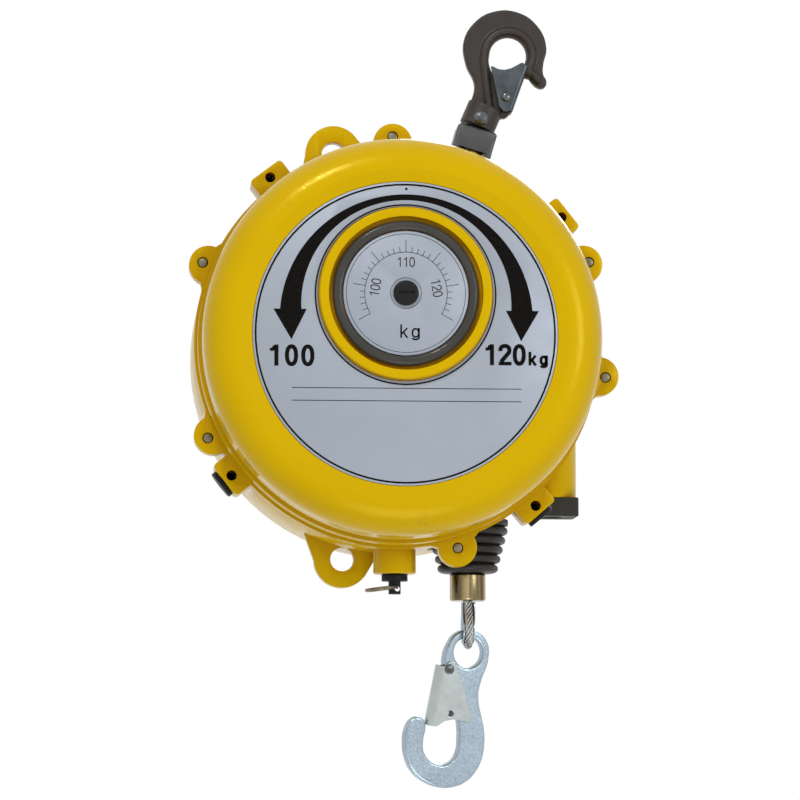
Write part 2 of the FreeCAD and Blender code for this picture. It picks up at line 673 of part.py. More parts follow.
def dial_train():
    """The dial with its hub, spindle and gear, and the pinion on the main shaft that drives it."""
    face = -s.face_fore
    module, wide = float(s.gear_mod), float(s.gear_wide)
    mid = (0, 0, dial_up)
    disc_front = face - s.disc_stand - s.disc_thick
    disc = cut(bar(s.disc_rad, s.disc_thick, (0, disc_front, 0)),
               bar(s.spindle_rad - 1, 10, (0, disc_front - 5, 0)))
    finish(disc, "dial_disc", CASING, mid)
    hub = turned([(0, disc_front - 3), (s.hub_rad - 1, disc_front - 3), (s.hub_rad, disc_front - 2),
                  (s.hub_rad, disc_front), (0, disc_front)])
    slot = block((-5.5, disc_front - 4, -1.1), (5.5, disc_front - 1.4, 1.1))
    finish(cut(hub, slot), "dial_hub", CASING, mid)
    finish(turned([(0, disc_front), (s.spindle_rad - 1, disc_front),
                   (s.spindle_rad - 1, disc_front + s.disc_thick),
                   (s.spindle_rad, disc_front + s.disc_thick), (s.spindle_rad, gear_front),
                   (4, gear_front), (4, -s.gear_fore), (0, -s.gear_fore)]),
           "dial_spindle", CASING, mid)
    gear = tooth_ring(float(s.dial_teeth), module, 0.8).extrude(V(0, wide, 0))
    gear.rotate(V(), V(0, 1, 0), 180 / float(s.dial_teeth) + 90)
    bore = Part.makeCylinder(4, wide + 2, V(0, -1, 0), V(0, 1, 0))
    windows = [Part.makeCylinder(4.2, wide + 2, V(12.5 * math.cos(a), -1, 12.5 * math.sin(a)), V(0, 1, 0))
               for a in (math.radians(60 * step) for step in range(6))]
    gear = gear.cut([bore] + windows)
    finish(shaped(gear, "DialGear"), "dial_gear", CASING, (0, gear_front, dial_up))
    pinion = tooth_ring(float(s.pinion_teeth), module, 0.8).extrude(V(0, wide, 0))
    pinion.rotate(V(), V(0, 1, 0), -90)
    pinion = pinion.cut(Part.makeCylinder(float(s.stub_rad), wide + 2, V(0, -1, 0), V(0, 1, 0)))
    finish(shaped(pinion, "Pinion"), "shaft_pinion", CASING, (0, gear_front, 0))
    bezel = turned([(s.bezel_bore, face), (s.bezel_rad, face),
                    (s.bezel_rad, face - s.bezel_tall + 2), (s.bezel_rad - 2, face - s.bezel_tall),
                    (s.bezel_bore + 1.5, face - s.bezel_tall), (s.bezel_bore, face - s.bezel_tall + 1.2)])
    finish(bezel, "dial_bezel", CASING, mid)


# ---------------------------------------------------------------- main shaft and worm drive
def shaft_parts():
    start = -(s.face_fore - s.face_wall) + 0.5
    shoulder = -s.gear_fore + 0.4
    finish(turned([(0, start), (s.stub_rad, start), (s.stub_rad, shoulder), (s.shaft_rad, shoulder),
                   (s.shaft_rad, s.wheel_aft), (s.tail_rad, s.wheel_aft),
                   (s.tail_rad, s.back_aft + s.bearing_stand - 1),
                   (0, s.back_aft + s.bearing_stand - 1)]), "main_shaft", CASING)
    module, teeth, wide = float(s.worm_mod), float(s.wheel_teeth), float(s.wheel_wide)
    wheel = tooth_ring(teeth, module, 0.72, 0.3).extrude(V(0, wide, 0))
    web_rad = teeth * module / 2 - 9
    well = Part.makeCylinder(web_rad, wide, V(), V(0, 1, 0)).cut(
        Part.makeCylinder(float(s.tail_rad) + 11, wide, V(), V(0, 1, 0)))
    front_well, back_well = well.copy(), well.copy()
    front_well.translate(V(0, -wide + 3, 0))
    back_well.translate(V(0, wide - 3, 0))
    holes = [Part.makeCylinder(17, wide * 2, V(64 * math.cos(a), -1, 64 * math.sin(a)), V(0, 1, 0))
             for a in (math.radians(60 * step + 30) for step in range(6))]
    bore = Part.makeCylinder(float(s.tail_rad), wide + 2, V(0, -1, 0), V(0, 1, 0))
    wheel = wheel.cut([front_well, back_well, bore] + holes)
    finish(shaped(wheel, "WormWheel"), "worm_wheel", CASING, (0, s.wheel_aft, 0))
    finish(turned([(s.tail_rad, 0), (s.tail_rad + 5, 0), (s.tail_rad + 5, 2.5), (s.tail_rad, 2.5)]),
           "wheel_collar", CASING, (0, s.wheel_aft + s.wheel_wide, 0))


def worm():
    """Single-start worm on its shaft: the thread leaves a gap where the wheel's tooth stands."""
    module = float(s.worm_mod)
    pitch = math.pi * module
    pitch_rad = float(s.worm_pitch_rad)
    core = pitch_rad - 1.25 * module
    tip = pitch_rad + 0.85 * module
    low = float(s.column_low)
    shaft = Part.makeCylinder(float(s.worm_shaft), low - 20, V(0, 0, -low), V(0, 0, 1))
    hub = Part.makeCylinder(core, 42, V(0, 0, -21), V(0, 0, 1))
    stub = Part.makeCylinder(float(s.worm_shaft) - 2, 18, V(0, 0, 20), V(0, 0, 1))
    turns = 4
    helix = Part.makeHelix(pitch, pitch * turns, core, 0)
    helix.translate(V(0, 0, -2 * pitch))
    foot, crest = 0.29 * pitch, 0.13 * pitch
    start = -2 * pitch
    corners = [V(core - 0.4, 0, start - foot), V(tip, 0, start - crest), V(tip, 0, start + crest),
               V(core - 0.4, 0, start + foot)]
    profile = Part.makePolygon(corners + [corners[0]])
    thread = Part.Wire(helix).makePipeShell([profile], True, True)
    ends = Part.makeCylinder(tip + 1, 36, V(0, 0, -18), V(0, 0, 1))
    whole = shaft.fuse([hub, stub, thread.common(ends)])
    socket = Part.makeCylinder(4.5, 12, V(0, 0, -low - 2), V(0, 0, 1))
    finish(shaped(whole.cut(socket), "Worm"), "worm", CASING, (worm_side, wheel_mid, 0))


def worm_cap():
    """Square cap under the worm column, open in the middle for the adjusting key."""
    half = s.cap_side / 2
    foot = -(s.column_low + s.cap_tall)
    cap = block((worm_side - half, wheel_mid - half, foot),
                (worm_side + half, wheel_mid + half, -s.column_low))
    cap = eased(cap, 2.5, lambda edge: edge.BoundBox.ZLength > 5)
    finish(cut(cap, bar(s.worm_shaft, 30, (worm_side, wheel_mid, foot - 5), "Z")), "worm_cap", CASING)


# ---------------------------------------------------------------- spring case, mainspring and drum
def spring_case():
    front, back = -s.case_fore, -s.case_back_fore
    hub = s.shaft_rad + s.run_gap + s.bush_wall
    finish(turned([(hub, front), (case_rad, front), (case_rad, back),
                   (case_rad - s.case_wall, back), (case_rad - s.case_wall, front + s.case_wall),
                   (hub + 5, front + s.case_wall), (hub + 5, front + 10), (hub, front + 10)]),
           "spring_case", CASING)
    bush(s.shaft_rad + s.run_gap, hub, front, front + 10, "case_bush")


def mainspring():
    """A flat spiral strip from a collet round the shaft out to the case wall."""
    inner = float(s.shaft_rad) + 8.0
    outer = float(case_rad - s.case_wall) - 0.4
    thick = float(s.coil_thick)
    turns = int(float(s.coil_turns))
    front = -float(s.case_fore) + float(s.case_wall) + 8
    back = -float(s.case_back_fore) - 2
    step = (outer - thick - inner) / (2 * turns)

    def spiral(offset):
        """Half circles that grow step by step, with their centres to one side and the other."""
        arcs, radius, centre, sign = [], inner + offset, 0.0, 1
        for half in range(2 * turns):
            first = V(centre + sign * radius, 0, 0)
            middle = V(centre, 0, sign * radius)
            last = V(centre - sign * radius, 0, 0)
            arcs.append(Part.Arc(first, middle, last).toShape())
            centre += sign * step
            radius += step
            sign = -sign
        return arcs

    low, high = spiral(0.0), spiral(thick)
    ends = [Part.LineSegment(low[0].Vertexes[0].Point, high[0].Vertexes[0].Point).toShape(),
            Part.LineSegment(low[-1].Vertexes[-1].Point, high[-1].Vertexes[-1].Point).toShape()]
    face = Part.Face(Part.Wire(Part.__sortEdges__(low + high + ends)))
    strip = face.extrude(V(0, back - front, 0))
    collet = Part.makeCylinder(inner + 0.6, back - front, V(), V(0, 1, 0)).cut(
        Part.makeCylinder(float(s.shaft_rad) + 0.4, back - front, V(), V(0, 1, 0)))
    finish(shaped(strip.fuse(collet), "Mainspring"), "mainspring", CASING, (0, front, 0))


wind_large_aft = s.wind_pitch * s.wind_turns
cone_rise = (float(s.wind_large) - float(s.wind_small)) / float(wind_large_aft)
rope_seat = (s.rope_rad + s.seat_gap) * math.hypot(1, cone_rise)


def rope_drum():
    """Tapered drum: its plate closes the spring case, and a notched ring serves the drum lock."""
    plate_front = -s.case_back_fore
    plate_back = plate_front + s.drum_plate
    ring_front = -(s.lock_fore + 4)
    ring_back = -(s.lock_fore - 4)
    large, small = s.wind_large - rope_seat, s.wind_small - rope_seat
    lip = s.wind_large + s.drum_lip
    bore = s.shaft_rad + s.run_gap + s.bush_wall
    hub = bore + 5
    rope_edge = -(s.rope_rad + s.seat_gap)
    end = wind_large_aft + 7
    body = turned([(bore, plate_front), (hub, plate_front), (hub, ring_front), (s.skirt_rad - 8, ring_front),
                   (s.skirt_rad - 8, plate_front), (case_rad, plate_front), (case_rad, plate_back),
                   (s.skirt_rad, plate_back), (s.skirt_rad, ring_front), (s.lock_ring_rad, ring_front),
                   (s.lock_ring_rad, ring_back), (s.drum_rim, ring_back), (s.drum_rim, rope_edge - 2),
                   (small, rope_edge), (small, 0), (large, wind_large_aft), (large, end - 3.2),
                   (lip, end - 3.2), (lip, end), (large - 6, end), (small - 6, 8), (hub, 8), (hub, end), (bore, end)])
    notches = []
    for number in range(int(float(s.lock_count))):
        angle = 270 + 360.0 * number / float(s.lock_count)
        notches.append(radial_block(angle, s.lock_ring_rad - s.lock_notch, s.lock_ring_rad + 5,
                                    s.plunger_rad + 1, ring_front - 1, ring_back + 1))
    finish(cut(body, *notches), "rope_drum", CASING)
    bush(s.shaft_rad + s.run_gap, bore, end - 12, end, "drum_bush")
    screws = []
    for angle in range(15, 375, 60):
        x, z = polar(s.skirt_rad + 9, angle)
        screws.append(bar(5, 3.5, (x, plate_back, z)))
    finish(fused(*screws), "drum_screws", CASING)


def rope_winding():
    """The rope on the drum: a tapering helix that ends level with the axis, on the rope's side."""
    turns, pitch = float(s.wind_turns), float(s.wind_pitch)
    large, small = float(s.wind_large), float(s.wind_small)
    points = []
    steps = int(turns * 16)
    for number in range(steps + 1):
        share = number / steps
        angle = 2 * math.pi * turns * (1 - share)
        radius = large + (small - large) * share
        points.append(V(radius * math.cos(angle), pitch * turns * (1 - share), radius * math.sin(angle)))
    line = Part.BSplineCurve()
    line.interpolate(points)
    path = Part.Wire(line.toShape())
    start, tangent = points[0], line.tangent(line.FirstParameter)[0]
    ring = Part.Wire(Part.makeCircle(float(s.rope_rad), start, tangent))
    finish(shaped(path.makePipeShell([ring], True, False), "Winding"), "rope_winding", CASING)


def rope_lead():
    """The straight rope from the drum through the guide and the buffer into the ferrule."""
    foot = ferrule_top - 9
    finish(turned([(0, foot), (s.rope_rad, foot), (s.rope_rad, -2), (0, -2)], "Z"),
           "rope_lead", CASING, (s.wind_small, 0, 0))


# ---------------------------------------------------------------- rope outlet and rope end
def outlet_parts():
    line = (s.wind_small, 0, 0)
    seat = -seat_low
    finish(turned([(s.buffer_bore + 1.5, seat + 9), (s.buffer_bore, seat + 4), (s.buffer_bore, seat),
                   (s.guide_rad, seat), (s.guide_rad, seat + 8.3), (s.guide_rad + 4, seat + 8.3),
                   (s.guide_rad + 4, seat + 11), (s.guide_rad - 3, seat + 12)], "Z"),
           "rope_guide", CASING, line)
    top = seat - s.seat_gap
    foot = -buffer_low
    corners = [(s.buffer_bore, foot), (s.buffer_bore, top)]
    ribs = int(float(s.buffer_ribs))
    straight = top - 5
    tall = (straight - foot) / ribs
    shrink = (s.buffer_top_rad - s.buffer_low_rad) / (ribs - 0.5)
    corners.append((s.buffer_top_rad, top))
    for rib in range(ribs):
        radius = s.buffer_top_rad - shrink * rib * 1.0
        rib_top = straight - tall * rib
        if rib:
            corners.append((radius - 2.2, rib_top))
            corners.append((radius - 0.2, rib_top - 1.6))
        corners.append((radius - shrink * 0.55, rib_top - tall + 1.2))
        corners.append((radius - shrink * 0.55 - 1.6, rib_top - tall))
    finish(turned(corners, "Z"), "rubber_buffer", CASING, line)


def rope_end():
    """Swaged ferrule, the rope's loop and the thimble inside the loop."""
    line = (s.wind_small, 0, 0)
    bore = s.rope_rad + 0.05
    solid = turned([(0, ferrule_foot), (s.ferrule_rad - 1, ferrule_foot), (s.ferrule_rad, ferrule_foot + 1),
                    (s.ferrule_rad, ferrule_top - 1), (s.ferrule_rad - 1, ferrule_top),
                    (0, ferrule_top)], "Z")
    spread = s.rope_rad + 0.6
    sockets = [bar(bore, 12, (0, 0, ferrule_top - 9), "Z"),
               bar(bore, 12, (0, -spread, ferrule_foot - 4), "Z"),
               bar(bore, 12, (0, spread, ferrule_foot - 4), "Z")]
    finish(cut(solid, *sockets), "ferrule", CASING, line)
    radius, mid = float(s.loop_rad), float(loop_mid)
    gap = float(spread)
    start = float(ferrule_foot) + 7
    neck = float(ferrule_foot) - 2
    shoulder = V(0, -radius, mid)
    curve = Part.BSplineCurve()
    down = V(0, 0, -1)
    curve.interpolate(Points=[V(0, -gap, neck), V(0, -(gap + radius) / 2, (neck + mid) / 2 + 0.5), shoulder],
                      InitialTangent=down * 10, FinalTangent=down * 10)
    mirror = curve.toShape().mirror(V(), V(0, 1, 0))
    bend = Part.Arc(shoulder, V(0, 0, mid - radius), V(0, radius, mid)).toShape()
    edges = [Part.LineSegment(V(0, -gap, start), V(0, -gap, neck)).toShape(), curve.toShape(), bend, mirror,
             Part.LineSegment(V(0, gap, neck), V(0, gap, start)).toShape()]
    path = Part.Wire(Part.__sortEdges__(edges))
    ring = Part.Wire(Part.makeCircle(float(s.rope_rad), V(0, -gap, start), V(0, 0, -1)))
    finish(shaped(path.makePipeShell([ring], True, False), "Loop"), "rope_loop", CASING, line)
    # the thimble is a half pipe on the inside of the loop's bend, open towards the rope
    outer, inner = float(loop_bar), float(s.rope_rad) + 0.05
    torus = Part.makeTorus(radius, outer, V(0, 0, mid), V(1, 0, 0))
    torus = torus.cut(Part.makeTorus(radius, inner, V(0, 0, mid), V(1, 0, 0)))
    inside = Part.makeCylinder(radius, 20, V(-10, 0, mid), V(1, 0, 0))
    below = Part.makeBox(20, 40, 30, V(-10, -20, mid - 30))
    finish(shaped(torus.common(inside).common(below), "Thimble"), "thimble", CASING, line)


# ---------------------------------------------------------------- drum lock
def drum_lock():
    place = (0, -s.lock_fore, 0)
    foot = -lock_boss_low
    tip = -(s.lock_ring_rad + 2)
    bush(s.plunger_rad + s.run_gap, s.plunger_rad + 3, foot + s.lock_travel + 3,
         -(s.casing_rad - s.casing_wall - 6), "lock_bush", CASING, "Z", place)
    eye = foot - s.knob_tall - 6
    plunger = turned([(0, eye - 4), (4.5, eye - 4), (4.5, foot - s.knob_tall - 0.5),
                      (s.knob_rad, foot - s.knob_tall - 0.5), (s.knob_rad, foot - 0.5),
                      (s.plunger_rad, foot - 0.5), (s.plunger_rad, tip - 2), (s.plunger_rad - 2, tip),
                      (0, tip)], "Z")
    hole = bar(2.1, 14, (1.8, -7, eye), "Y")
    finish(cut(plunger, hole), "lock_plunger", CASING, place)
    radius, wire = float(s.ring_rad), float(s.ring_wire)
    ring = Part.makeTorus(radius, wire, V(-radius, 0, wire * 0.92), V(0, 0, 1)).fuse(
        Part.makeTorus(radius, wire, V(-radius, 0, -wire * 0.92), V(0, 0, 1)))
    ring.rotate(V(), V(0, 1, 0), -7)
    finish(shaped(ring, "SplitRing"), "split_ring", CASING, (1.95, -s.lock_fore, eye))


# ---------------------------------------------------------------- hanger
def hanger_parts():
    half = s.hanger_wide / 2
    low = -(s.hanger_pin_rad + 7)
    block_body = fused(block((-half, -half, 0), (half, half, s.hanger_tall)),
                       common(bar(-low, 2 * half, (0, -half, 0)),
                              block((-half, -half, low), (half, half, 1))))
    block_body = eased(block_body, s.chamfer, lambda edge: edge.BoundBox.ZMin > float(s.hanger_tall) - 0.1
                       or (edge.BoundBox.ZLength > 25 and edge.BoundBox.XLength < 0.1), "Part::Chamfer")
    window = block((-11, -half - 1, 8), (11, half + 1, 17))
    finish(cut(block_body, window, bar(s.stud_rad + s.run_gap, 30, (0, 0, 12), "Z"),
               bar(s.hanger_pin_rad + s.run_gap, 60, (0, -30, 0))), "hanger_block", HANGER)
    cheek = half + s.seat_gap + 0.3 + s.cheek_thick
    start = -s.parting_fore + s.seat_gap
    finish(turned([(0, start), (s.hanger_pin_rad - 1, start), (s.hanger_pin_rad, start + 1),
                   (s.hanger_pin_rad, cheek - 1), (s.hanger_pin_rad - 1, cheek), (0, cheek)]),
           "hanger_pin", CASING, (hanger_side, 0, hanger_up))
    # swivel stud: a head in the block's window, a shank through its top, an eye for the cross pin
    pin = s.hanger_tall + s.pin_rise
    stud = turned([(0, 9.5), (9, 9.5), (9, 16.6), (s.stud_rad, 16.6), (s.stud_rad, pin),
                   (s.stud_rad * 0.8, pin + 3.6), (s.stud_rad * 0.3, pin + 5.4), (0, pin + 5.6)], "Z")
    finish(cut(stud, bar(s.cross_pin_rad + s.run_gap, 30, (0, -15, pin))), "swivel_stud", HANGER)


# ---------------------------------------------------------------- upper hook
def long_arc(edge, least):
    """Whether an edge of a hook's flat faces is one of its large arcs."""
    flat = edge.BoundBox.YLength < 0.1
    return flat and hasattr(edge.Curve, "Radius") and edge.Curve.Radius > least and edge.Length > 20


latch_side, latch_up = 10.7, 23.2


def upper_hook():
    half = s.hook_thick / 2
    bowl_up = s.hook_rise
    disc = bar(s.hook_rad, s.hook_thick, (-3.3, -half, bowl_up + 2.2))
    neck = slab([(-12.4, 9), (12.4, 9), (14.6, 16), (14.9, 24), (8.7, 28), (4, 40), (-24, 40), (-14.5, 27),
                 (-12, 20)], -half, half)
    arm = slab([(20, bowl_up - 4), (28, bowl_up + 6), (34.8, bowl_up - 7), (31.5, bowl_up - 12.6),
                (26, bowl_up - 11)], -half, half)
    tip = bar(4, s.hook_thick, (31, -half, bowl_up - 8.8))
    bowl = bar(s.hook_bowl, s.hook_thick + 2, (0, -half - 1, bowl_up))
    throat = slab([(15.6, 26), (8.7, 27.8), (-7, bowl_up - 11.6), (0, bowl_up), (14.2, bowl_up + 0.4),
                   (21, bowl_up - 7), (27.5, bowl_up - 12.9), (44, bowl_up - 16), (44, 16), (15.6, 16)],
                  -half - 1, half + 1)
    plate = fused(cut(fused(disc, neck, arm), bowl, throat), tip,
                  bar(4.4, s.hook_thick, (latch_side, -half, latch_up)))
    plate = eased(plate, s.chamfer, lambda edge: long_arc(edge, 14), "Part::Chamfer")
    bend = math.radians(float(s.hook_tilt - s.hanger_tilt))
    collar_foot = -(s.pin_rise - s.seat_gap - s.collar_rad * math.sin(bend)) / math.cos(bend)
    collar = bar(s.collar_rad, 11.4 - collar_foot, (0, 0, collar_foot), "Z")
    cavity = bar(s.stud_rad + 2.2, 16, (0, 0, -9), "Z")
    body = cut(fused(plate, collar), cavity, bar(s.cross_pin_rad + 0.02, 40, (0, -20, 0)),
               bar(s.latch_pin_rad + 0.02, 40, (latch_side, -20, latch_up)))
    finish(body, "upper_hook", HOOK)
    reach = s.collar_rad
    head = s.cross_pin_rad + 1.2
    finish(turned([(0, -reach - 3), (head * 0.5, -reach - 2.6), (head * 0.85, -reach - 1.6), (head, -reach),
                   (s.cross_pin_rad, -reach), (s.cross_pin_rad, reach), (head, reach),
                   (head * 0.85, reach + 1.6), (head * 0.5, reach + 2.6), (0, reach + 3)]),
           "hook_cross_pin", HOOK)


def latch_head_pin(half, place, label, frame):
    """A riveted latch pin with a domed head at each end."""
    finish(turned([(0, -half - 2), (2, -half - 1.6), (3.6, -half), (s.latch_pin_rad, -half),
                   (s.latch_pin_rad, half), (3.6, half), (2, half + 1.6), (0, half + 2)]),
           label, frame, place)


def latch(sides, web, half, pivot, label, frame, hole=None):
    """A channel-shaped sheet latch: two side plates and a web that closes the hook's mouth."""
    inner = half + 0.5
    outer = inner + s.latch_sheet
    plates = [slab(sides, -outer, -inner), slab(sides, inner, outer)]
    body = fused(*plates, slab(web, -outer, outer))
    bores = [bar(s.latch_pin_rad + s.run_gap, 60, (pivot[0], -30, pivot[1]))]
    if hole:
        bores.append(bar(hole[2], 60, (hole[0], -30, hole[1])))
    finish(cut(body, *bores), label, frame)
    return outer


def upper_latch():
    half = s.hook_thick / 2
    up = s.hook_rise
    sides = [(6, 19.5), (-8.3, up - 13.5), (1, up - 8.6), (9, up - 3.2), (14.8, up - 1.4), (17.2, 20.4),
             (13, 17.5)]
    web = [(15.7, 20.6), (17.2, 20.4), (14.9, up - 1.4), (13.4, up - 1.5)]
    outer = latch(sides, web, half, (latch_side, latch_up), "upper_latch", HOOK)
    latch_head_pin(outer + 0.1, (latch_side, 0, latch_up), "upper_latch_pin", HOOK)


# ---------------------------------------------------------------- lower hook
def lower_hook():
    half = s.low_thick / 2
    drop = s.low_drop
    eye = bar(s.eye_rad, s.low_thick, (0, -half, 0))
    disc = bar(s.low_rad, s.low_thick, (1, -half, -drop - 0.5))
    shank = slab([(-12, -11), (16.6, -3), (16.4, -24.5), (24, -45), (28.6, 6.5 - drop), (11.5, 2.5 - drop),
                  (10.8, 12.5 - drop), (4, -42), (-4, -24), (-12, -17)], -half, half)
    mouth = slab([(-40, 16.5 - drop), (-22.5, 19 - drop), (-16, 14.5 - drop), (-11, 4.5 - drop), (0, -drop),
                  (10.6, 8.5 - drop), (10.8, 14.5 - drop), (4, -42), (-4, -24), (-40, -24)],
                 -half - 1, half + 1)
    bowl = bar(s.low_bowl, s.low_thick + 2, (0.3, -half - 1, -drop))
    tip = bar(5.3, s.low_thick, (-22.5, -half, 13.5 - drop))
    ear = bar(5.5, s.low_thick, (-11.3, -half, -16.2))
    plate = fused(cut(fused(disc, shank), bowl, mouth), eye, tip, ear)
    flare = s.low_thick * 0.31
    eye_hole = turned([(0, -half - 0.1), (s.eye_bore + flare, -half - 0.1), (s.eye_bore, -half + flare),
                       (s.eye_bore, half - flare), (s.eye_bore + flare, half + 0.1), (0, half + 0.1)])
    plate = cut(plate, eye_hole, bar(s.latch_pin_rad + 0.02, 40, (-11.3, -20, -16.2)))
    plate = eased(plate, s.chamfer * 1.3, lambda edge: long_arc(edge, 20), "Part::Chamfer")
    finish(plate, "lower_hook", LOWER)
    sides = [(-19.5, -15.5), (-12, -9.5), (-8.4, -10.1), (17, 27 - drop), (6.7, 25.8 - drop),
             (-1.3, 22.9 - drop), (-7.7, 15.4 - drop), (-14.6, 14.1 - drop)]
    web = [(-19.5, -15.5), (-18.2, -15.4), (-13.3, 14.3 - drop), (-14.6, 14.1 - drop)]
    outer = latch(sides, web, half, (-11.3, -16.2), "lower_latch", LOWER, (-4.5, 19 - drop, 2.3))
    latch_head_pin(outer + 0.1, (-11.3, 0, -16.2), "lower_latch_pin", LOWER)


front_cover()
rear_casing()
boss_plugs()
casing_bolts()
label_plate()
bush(s.stub_rad + s.run_gap, s.stub_rad + s.bush_wall, -(s.face_fore - s.face_wall),
     -(s.face_fore - s.face_wall) + bush_deep, "shaft_front_bush")
bush(s.tail_rad + s.run_gap, s.tail_rad + s.bush_wall, s.back_aft - s.casing_wall - 3,
     s.back_aft + s.bearing_stand, "shaft_rear_bush")
bush(s.worm_shaft + s.run_gap, s.worm_shaft + 3, -s.column_low, -s.column_low + 27, "worm_bush", CASING,
     "Z", (worm_side, wheel_mid, 0))
dial_train()
shaft_parts()
worm()
worm_cap()
spring_case()
mainspring()
rope_drum()
rope_winding()
rope_lead()
outlet_parts()
rope_end()
drum_lock()
hanger_parts()
upper_hook()
upper_latch()
lower_hook()

doc.recompute()
faults = [f"{item.Label}: {item.State}" for item in doc.Objects
          if "Invalid" in item.State or "Error" in item.State]
faults += [f"{item.Label}: no valid shape" for item in nodes
           if item.Shape.isNull() or not item.Shape.isValid()]
if faults:
    raise RuntimeError("; ".join(faults))

os.makedirs("parts", exist_ok=True)
for item in nodes:
    item.Shape.exportStep(f"parts/{item.Label}.step")
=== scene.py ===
import json
import math

import bmesh
import bpy
from bpy.props import FloatProperty, FloatVectorProperty, IntProperty, PointerProperty
from mathutils import Matrix, Vector


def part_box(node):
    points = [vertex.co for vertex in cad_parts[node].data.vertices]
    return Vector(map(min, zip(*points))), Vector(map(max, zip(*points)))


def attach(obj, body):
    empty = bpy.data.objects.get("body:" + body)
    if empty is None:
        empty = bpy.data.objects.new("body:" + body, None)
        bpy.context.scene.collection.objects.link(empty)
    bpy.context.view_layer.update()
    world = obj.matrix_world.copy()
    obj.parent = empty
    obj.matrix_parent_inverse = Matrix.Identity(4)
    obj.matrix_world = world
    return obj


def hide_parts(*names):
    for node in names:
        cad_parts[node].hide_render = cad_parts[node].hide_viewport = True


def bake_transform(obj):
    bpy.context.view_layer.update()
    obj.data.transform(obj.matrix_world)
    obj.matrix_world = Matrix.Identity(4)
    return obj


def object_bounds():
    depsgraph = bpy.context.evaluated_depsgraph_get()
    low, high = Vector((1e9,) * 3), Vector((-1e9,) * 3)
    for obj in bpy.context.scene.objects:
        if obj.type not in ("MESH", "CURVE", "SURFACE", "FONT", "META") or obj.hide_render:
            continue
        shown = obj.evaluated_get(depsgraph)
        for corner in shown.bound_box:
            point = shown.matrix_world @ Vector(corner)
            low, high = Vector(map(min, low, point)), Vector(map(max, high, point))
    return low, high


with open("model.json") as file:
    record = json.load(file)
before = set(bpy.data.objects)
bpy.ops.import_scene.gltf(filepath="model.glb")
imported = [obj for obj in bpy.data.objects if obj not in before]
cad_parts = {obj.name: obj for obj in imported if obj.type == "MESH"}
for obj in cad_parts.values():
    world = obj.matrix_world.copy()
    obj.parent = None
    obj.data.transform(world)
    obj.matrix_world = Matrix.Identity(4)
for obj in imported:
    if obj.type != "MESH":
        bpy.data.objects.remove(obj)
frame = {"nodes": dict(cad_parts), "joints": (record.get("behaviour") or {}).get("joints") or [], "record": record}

bl_info = {
    "name": "Tool Balancer",
    "version": (1, 0, 0),
    "blender": (4, 5, 0),
    "location": "View3D > Sidebar > Balancer",
    "description": "Finishes, print and small parts for the packed spring balancer",
    "category": "Object",
}

CAD_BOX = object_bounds()
MM = 0.001


# ---------------------------------------------------------------- places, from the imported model
def middle(node):
    low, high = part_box(node)
    return (low + high) / 2


def pivot(joint):
    return Vector(next(item["pos_m"] for item in frame["joints"] if item["name"] == joint))


AXIS = middle("label_plate")
DIAL = middle("dial_disc")
ROPE = middle("rope_lead")
FACE_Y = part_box("label_plate")[0].y
DISC_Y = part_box("dial_disc")[0].y
UPRIGHT = Matrix.Rotation(math.radians(90), 4, "X")


def above_axis(z):
    """Millimetres from the casing's axis up to a height in the frame."""
    return (z - AXIS.z) / MM


def local(origin, turn=None):
    """Frame for drawing in millimetres about a point."""
    return Matrix.Translation(origin) @ (turn or Matrix.Identity(4)) @ Matrix.Scale(MM, 4)


def facing(x, y, z):
    """Frame for flat drawing: x to the right, y up, z out towards the reader."""
    return Matrix.Translation((x, y, z)) @ UPRIGHT @ Matrix.Scale(MM, 4)


def lean(degrees):
    return Matrix.Rotation(math.radians(degrees), 4, "Y")


UPPER_LEAN, LOWER_LEAN, LOWER_TURN = 23.5, 17, 15
HOOK = local(pivot("hook_tilt"), lean(UPPER_LEAN))
LOWER = local(pivot("lower_hook_swing"),
              lean(LOWER_LEAN) @ Matrix.Rotation(math.radians(LOWER_TURN), 4, "Z"))
ROPE_LINE = local(Vector((ROPE.x, ROPE.y, AXIS.z)))


# ---------------------------------------------------------------- sizes and colours a user would change
def colour(name, about, default):
    return FloatVectorProperty(name=name, description=about, subtype="COLOR", size=3, min=0, max=1,
                               default=default)


def length(name, about, millimetres):
    return FloatProperty(name=name, description=about, subtype="DISTANCE", unit="LENGTH", min=0,
                         default=millimetres * MM)


class BalancerColours(bpy.types.PropertyGroup):
    enamel: colour("Enamel", "Gloss enamel of the casing", (0.72, 0.46, 0.0))
    # Painted shade: a darker enamel that the finish lays into hollows.
    enamel_painted_shade: colour("Enamel in recesses", "Enamel darkened as painted shade in hollows", (0.40, 0.17, 0.0))
    plate: colour("Label", "Silver ground of the label and the dial", (0.33, 0.37, 0.43))
    print_ink: colour("Print", "Printed numbers, arrows and lines", (0.006, 0.005, 0.0045))
    bezel: colour("Bezel", "Ring round the dial", (0.045, 0.042, 0.036))
    black: colour("Black plastic", "Hub, plugs and small mouldings", (0.012, 0.012, 0.013))
    cap: colour("Cap", "Grey cap of the worm column", (0.035, 0.034, 0.031))
    forged: colour("Oxide", "Dark oxide of the upper hook", (0.030, 0.025, 0.022))
    block: colour("Block", "Blackened block and upper latch", (0.060, 0.062, 0.066))
    zinc: colour("Zinc", "Bright zinc plate", (0.36, 0.44, 0.51))
    chromate: colour("Chromate", "Yellow chromate of the ferrule", (0.27, 0.21, 0.11))
    rubber: colour("Rubber", "Rope buffer", (0.020, 0.018, 0.017))
    wire: colour("Rope", "Wire rope", (0.36, 0.36, 0.35))
    steel: colour("Steel", "Turned and ground steel", (0.42, 0.42, 0.43))
    spring: colour("Spring steel", "Mainspring strip", (0.14, 0.16, 0.20))
    bronze: colour("Bronze", "Bushes and gears", (0.55, 0.34, 0.14))
    cast: colour("Cast aluminium", "Drum and spring case", (0.50, 0.51, 0.52))


